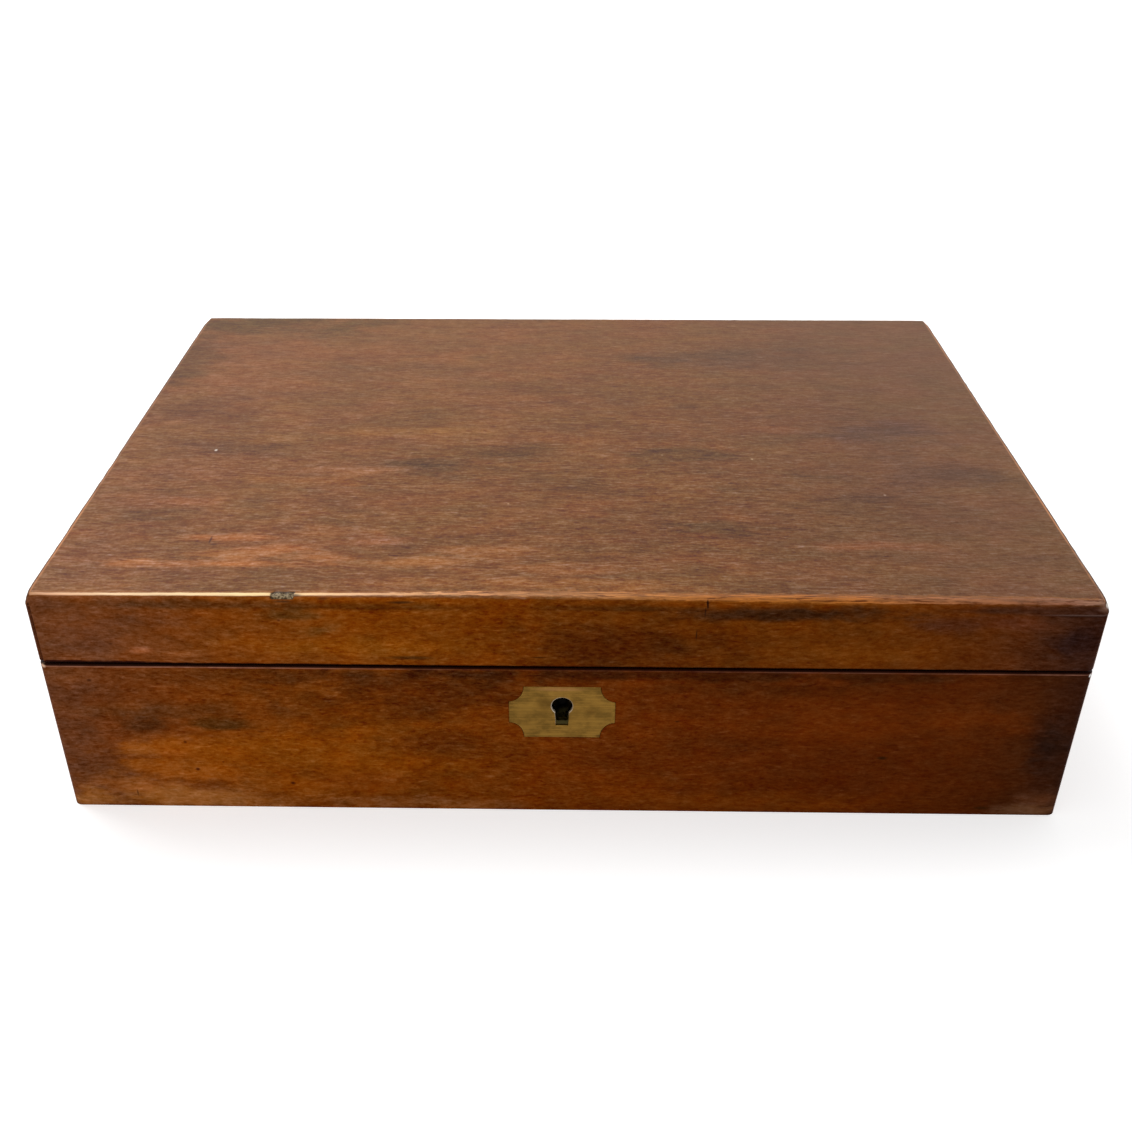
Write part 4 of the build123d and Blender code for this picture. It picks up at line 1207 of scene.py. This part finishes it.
def steel_material(name, bright, dark):
    """Steel with dark oxide in spots."""
    made, t, shader = material(name)
    spots = t.noise(t.place(), (400, 400, 400), 3, 0.6)
    t.give(shader, {
        "Base Color": t.mix(t.fade(spots, 0.45, 0.65), bright, dark),
        "Metallic": 1.0,
        "Roughness": t.fade(spots, 0.3, 0.7, 0.35, 0.6),
    })
    return made


def leather_material(name, tone, shade):
    """Skiver with a fine pebbled grain and darker, rubbed patches."""
    made, t, shader = material(name)
    place = t.place()
    pebbles = t.node("TexVoronoi", {"Vector": place, "Scale": 1500.0}).outputs["Distance"]
    patches = t.noise(place, (22, 22, 22), 4, 0.6)
    worn = t.noise(place, (90, 90, 90), 4, 0.7)
    colour = t.mix(t.fade(patches, 0.35, 0.7), tone, shade)
    t.give(shader, {
        "Base Color": t.times(colour, t.fade(worn, 0.3, 0.7, 0.82, 1.2, "LINEAR")),
        "Roughness": t.fade(worn, 0.3, 0.7, 0.42, 0.62),
        "Specular IOR Level": 0.35,
        "Normal": bumped(t, pebbles, 0.06 * MM, 0.5),
    })
    return made


def glass_material():
    """Clear glass with a slow ripple."""
    made, t, shader = material("bottle_glass")
    ripple = t.noise(t.place(), (60, 60, 60), 2, 0.5)
    t.give(shader, {
        "Base Color": rgb(222, 236, 228),
        "Transmission Weight": 1.0,
        "IOR": 1.5,
        "Roughness": 0.03,
        "Normal": bumped(t, ripple, 0.3 * MM, 0.3),
    })
    return made


def wear(finish, *node_names):
    """Gives CAD nodes a finish."""
    for name in node_names:
        mesh = frame["nodes"][name].data
        mesh.materials.clear()
        mesh.materials.append(finish)


# What the keyhole shows of the lock: painted shade, and a patch of old brass low in it
LOCK_SHADE_MARKS = [
    ((0.0, FRONT / MM + 7, 42.0), (7.0, 8, 15), rgb(8, 7, 5), 1.0),
    ((0.8, FRONT / MM + 7, 35.5), (3.4, 8, 4.2), rgb(150, 138, 84), 1.0),
]
# Stains on the keyhole plate
PLATE_MARKS = [
    ((x, FRONT / MM, z), (a, 3, b), rgb(*shade), strength)
    for x, z, a, b, shade, strength in (
        (15.0, 35.6, 2.0, 1.5, (70, 44, 18), 0.8),
        (12.6, 33.6, 1.5, 0.8, (78, 50, 20), 0.7),
        (9.5, 44.0, 2.6, 0.8, (112, 76, 30), 0.4),
        (-5.8, 47.0, 3.2, 4.0, (104, 74, 28), 0.6),
        (-1.0, 53.3, 10, 1.0, (190, 136, 84), 0.5),
        (0.0, 32.6, 13, 0.7, (176, 130, 72), 0.5),
    )
]
OUTSIDE = rgb(112, 58, 24)
INSIDE = rgb(136, 86, 52)

top_finish = top_material()
# The lid front's rim line is painted shade, the base front's a painted highlight
lid_front_finish = front_material(
    "mahogany_lid_front", LID_FRONT, on_front(44, 14, 9), SHADE_LINE_ON_LID, lid=True
)
base_front_finish = front_material(
    "mahogany_base_front", BASE_FRONT, on_front(150, 102, 82), HIGHLIGHT_LINE_ON_BASE, lid=False
)
base_side_finish = plain_wood("mahogany_base_sides", 11.0, OUTSIDE, True, 0.45, 0.25, "base")
lid_side_finish = plain_wood("mahogany_lid_sides", 12.0, OUTSIDE, True, 0.45, 0.25, "lid")
base_back_finish = plain_wood("mahogany_base_back", 13.0, OUTSIDE, False, 0.45, 0.25, "base")
lid_back_finish = plain_wood("mahogany_lid_back", 14.0, OUTSIDE, False, 0.45, 0.25, "lid")
bottom_finish = plain_wood("mahogany_bottom", 15.0, rgb(104, 66, 40), False, 0.6, 0.15)
inner_finish = plain_wood("inner_mahogany", 17.0, INSIDE, False, 0.55, 0.2)
inner_side_finish = plain_wood("inner_mahogany_sides", 19.0, INSIDE, True, 0.55, 0.2)
plate_finish = brass_material("aged_brass", rgb(154, 116, 51), 0.42, PLATE_MARKS, rubbed=True)
dark_steel_finish = steel_material("dark_steel", rgb(9, 8, 7), rgb(5, 4, 3))
slot_finish = {
    "mahogany": base_back_finish,
    "inner_mahogany": inner_finish,
    "aged_brass": plate_finish,
    "brass": brass_material("brass", rgb(162, 130, 70), 0.36, LOCK_SHADE_MARKS),
    "steel": steel_material("drawn_steel", rgb(150, 146, 138), rgb(96, 80, 64)),
    "writing_leather": leather_material("writing_leather", rgb(40, 66, 48), rgb(28, 48, 36)),
    "tab_leather": leather_material("tab_leather", rgb(92, 44, 34), rgb(66, 30, 24)),
    "glass": glass_material(),
}

# Pieces and finishes

top = worn_top_board()
smooth_by_angle(top, 50)
stand_for(top, "lid_top_board", "lid", top_finish)
stand_for(keyhole_plate(), "escutcheon", "base", plate_finish)
stand_for(open_mitre_board(), "lid_front_board", "lid", lid_front_finish)

for item in frame["record"]["subparts"]:
    wear(slot_finish[item["material_slot"]], item["node"])
wear(base_front_finish, "base_front_board")
wear(base_side_finish, "base_left_board", "base_right_board")
wear(lid_side_finish, "lid_left_board", "lid_right_board")
wear(lid_back_finish, "lid_back_board")
wear(bottom_finish, "base_bottom_board")
wear(dark_steel_finish, "key_pin", "bolt_studs")
wear(inner_side_finish, "ink_divider_left", "ink_divider_right")
wear(inner_side_finish, "base_ledge_left", "base_ledge_right", "lid_ledge_left", "lid_ledge_right")


# Camera, floor and light

CAMERA_PLACE = Vector((-0.025, -473.452, 309.903)) * MM
LOOK = Vector((-0.01868023, 0.84237025, -0.53857536))
CAMERA_UP = Vector((-0.00788718, 0.53852844, 0.84257042))
LENS = 40.898
SHIFT = (0.02401, 0.028504)


def studio():
    camera = placed("camera", bpy.data.cameras.new("camera"))
    camera.data.lens = LENS
    camera.data.sensor_width = 36
    camera.data.shift_x, camera.data.shift_y = SHIFT
    camera.data.clip_start = 0.01
    right = LOOK.cross(CAMERA_UP).normalized()
    up = right.cross(LOOK).normalized()
    turn = Matrix((right, up, -LOOK)).transposed().to_4x4()
    camera.matrix_world = Matrix.Translation(CAMERA_PLACE) @ turn
    bpy.context.scene.camera = camera


FLOOR_HALF = 4.0
FLOOR_LIFT = 0.5  # what camera rays see above the floor's own light, so that it shows white
WORLD_LEVEL = 0.7
KEY_WATTS = 14.0
KEY_PLACE = (-0.7, 0.5, 1.5)
KEY_SIZE = 0.9


def floor():
    made, t, shader = material("studio_floor")
    watched = t.node("LightPath").outputs["Is Camera Ray"]
    t.give(shader, {
        "Base Color": (0.8, 0.8, 0.8, 1),
        "Roughness": 1.0,
        "Specular IOR Level": 0.0,
        "Emission Color": (1, 1, 1, 1),
        "Emission Strength": t.product(watched, FLOOR_LIFT),
    })
    corners = ((-1, -1), (1, -1), (1, 1), (-1, 1))
    points = [(x * FLOOR_HALF, y * FLOOR_HALF, 0) for x, y in corners]
    plane = mesh_piece("studio_floor", points, [(0, 1, 2, 3)], smooth=False)
    plane.data.materials.append(made)


def light():
    world = bpy.data.worlds.new("studio")
    bpy.context.scene.world = world
    world.use_nodes = True
    world.node_tree.nodes.clear()
    t = Tree(world.node_tree)
    path = t.node("LightPath").outputs
    watched = t.math("MAXIMUM", path["Is Camera Ray"], path["Is Glossy Ray"])
    watched = t.math("MAXIMUM", watched, path["Is Transmission Ray"])
    plain = t.node("Background", {"Color": (1, 1, 1, 1), "Strength": WORLD_LEVEL})
    white = t.node("Background", {"Color": (1, 1, 1, 1), "Strength": 1.0})
    both = t.node("MixShader", {0: watched, 1: plain.outputs[0], 2: white.outputs[0]})
    t.node("OutputWorld", {"Surface": both.outputs[0]})
    lamp = bpy.data.lights.new("key", "AREA")
    lamp.energy = KEY_WATTS
    lamp.size = KEY_SIZE
    key = placed("key", lamp)
    key.location = KEY_PLACE
    key.rotation_mode = "QUATERNION"
    key.rotation_quaternion = (-Vector(KEY_PLACE)).to_track_quat("-Z", "Y")


studio()
floor()
light()
bpy.context.scene.view_settings.view_transform = "Standard"
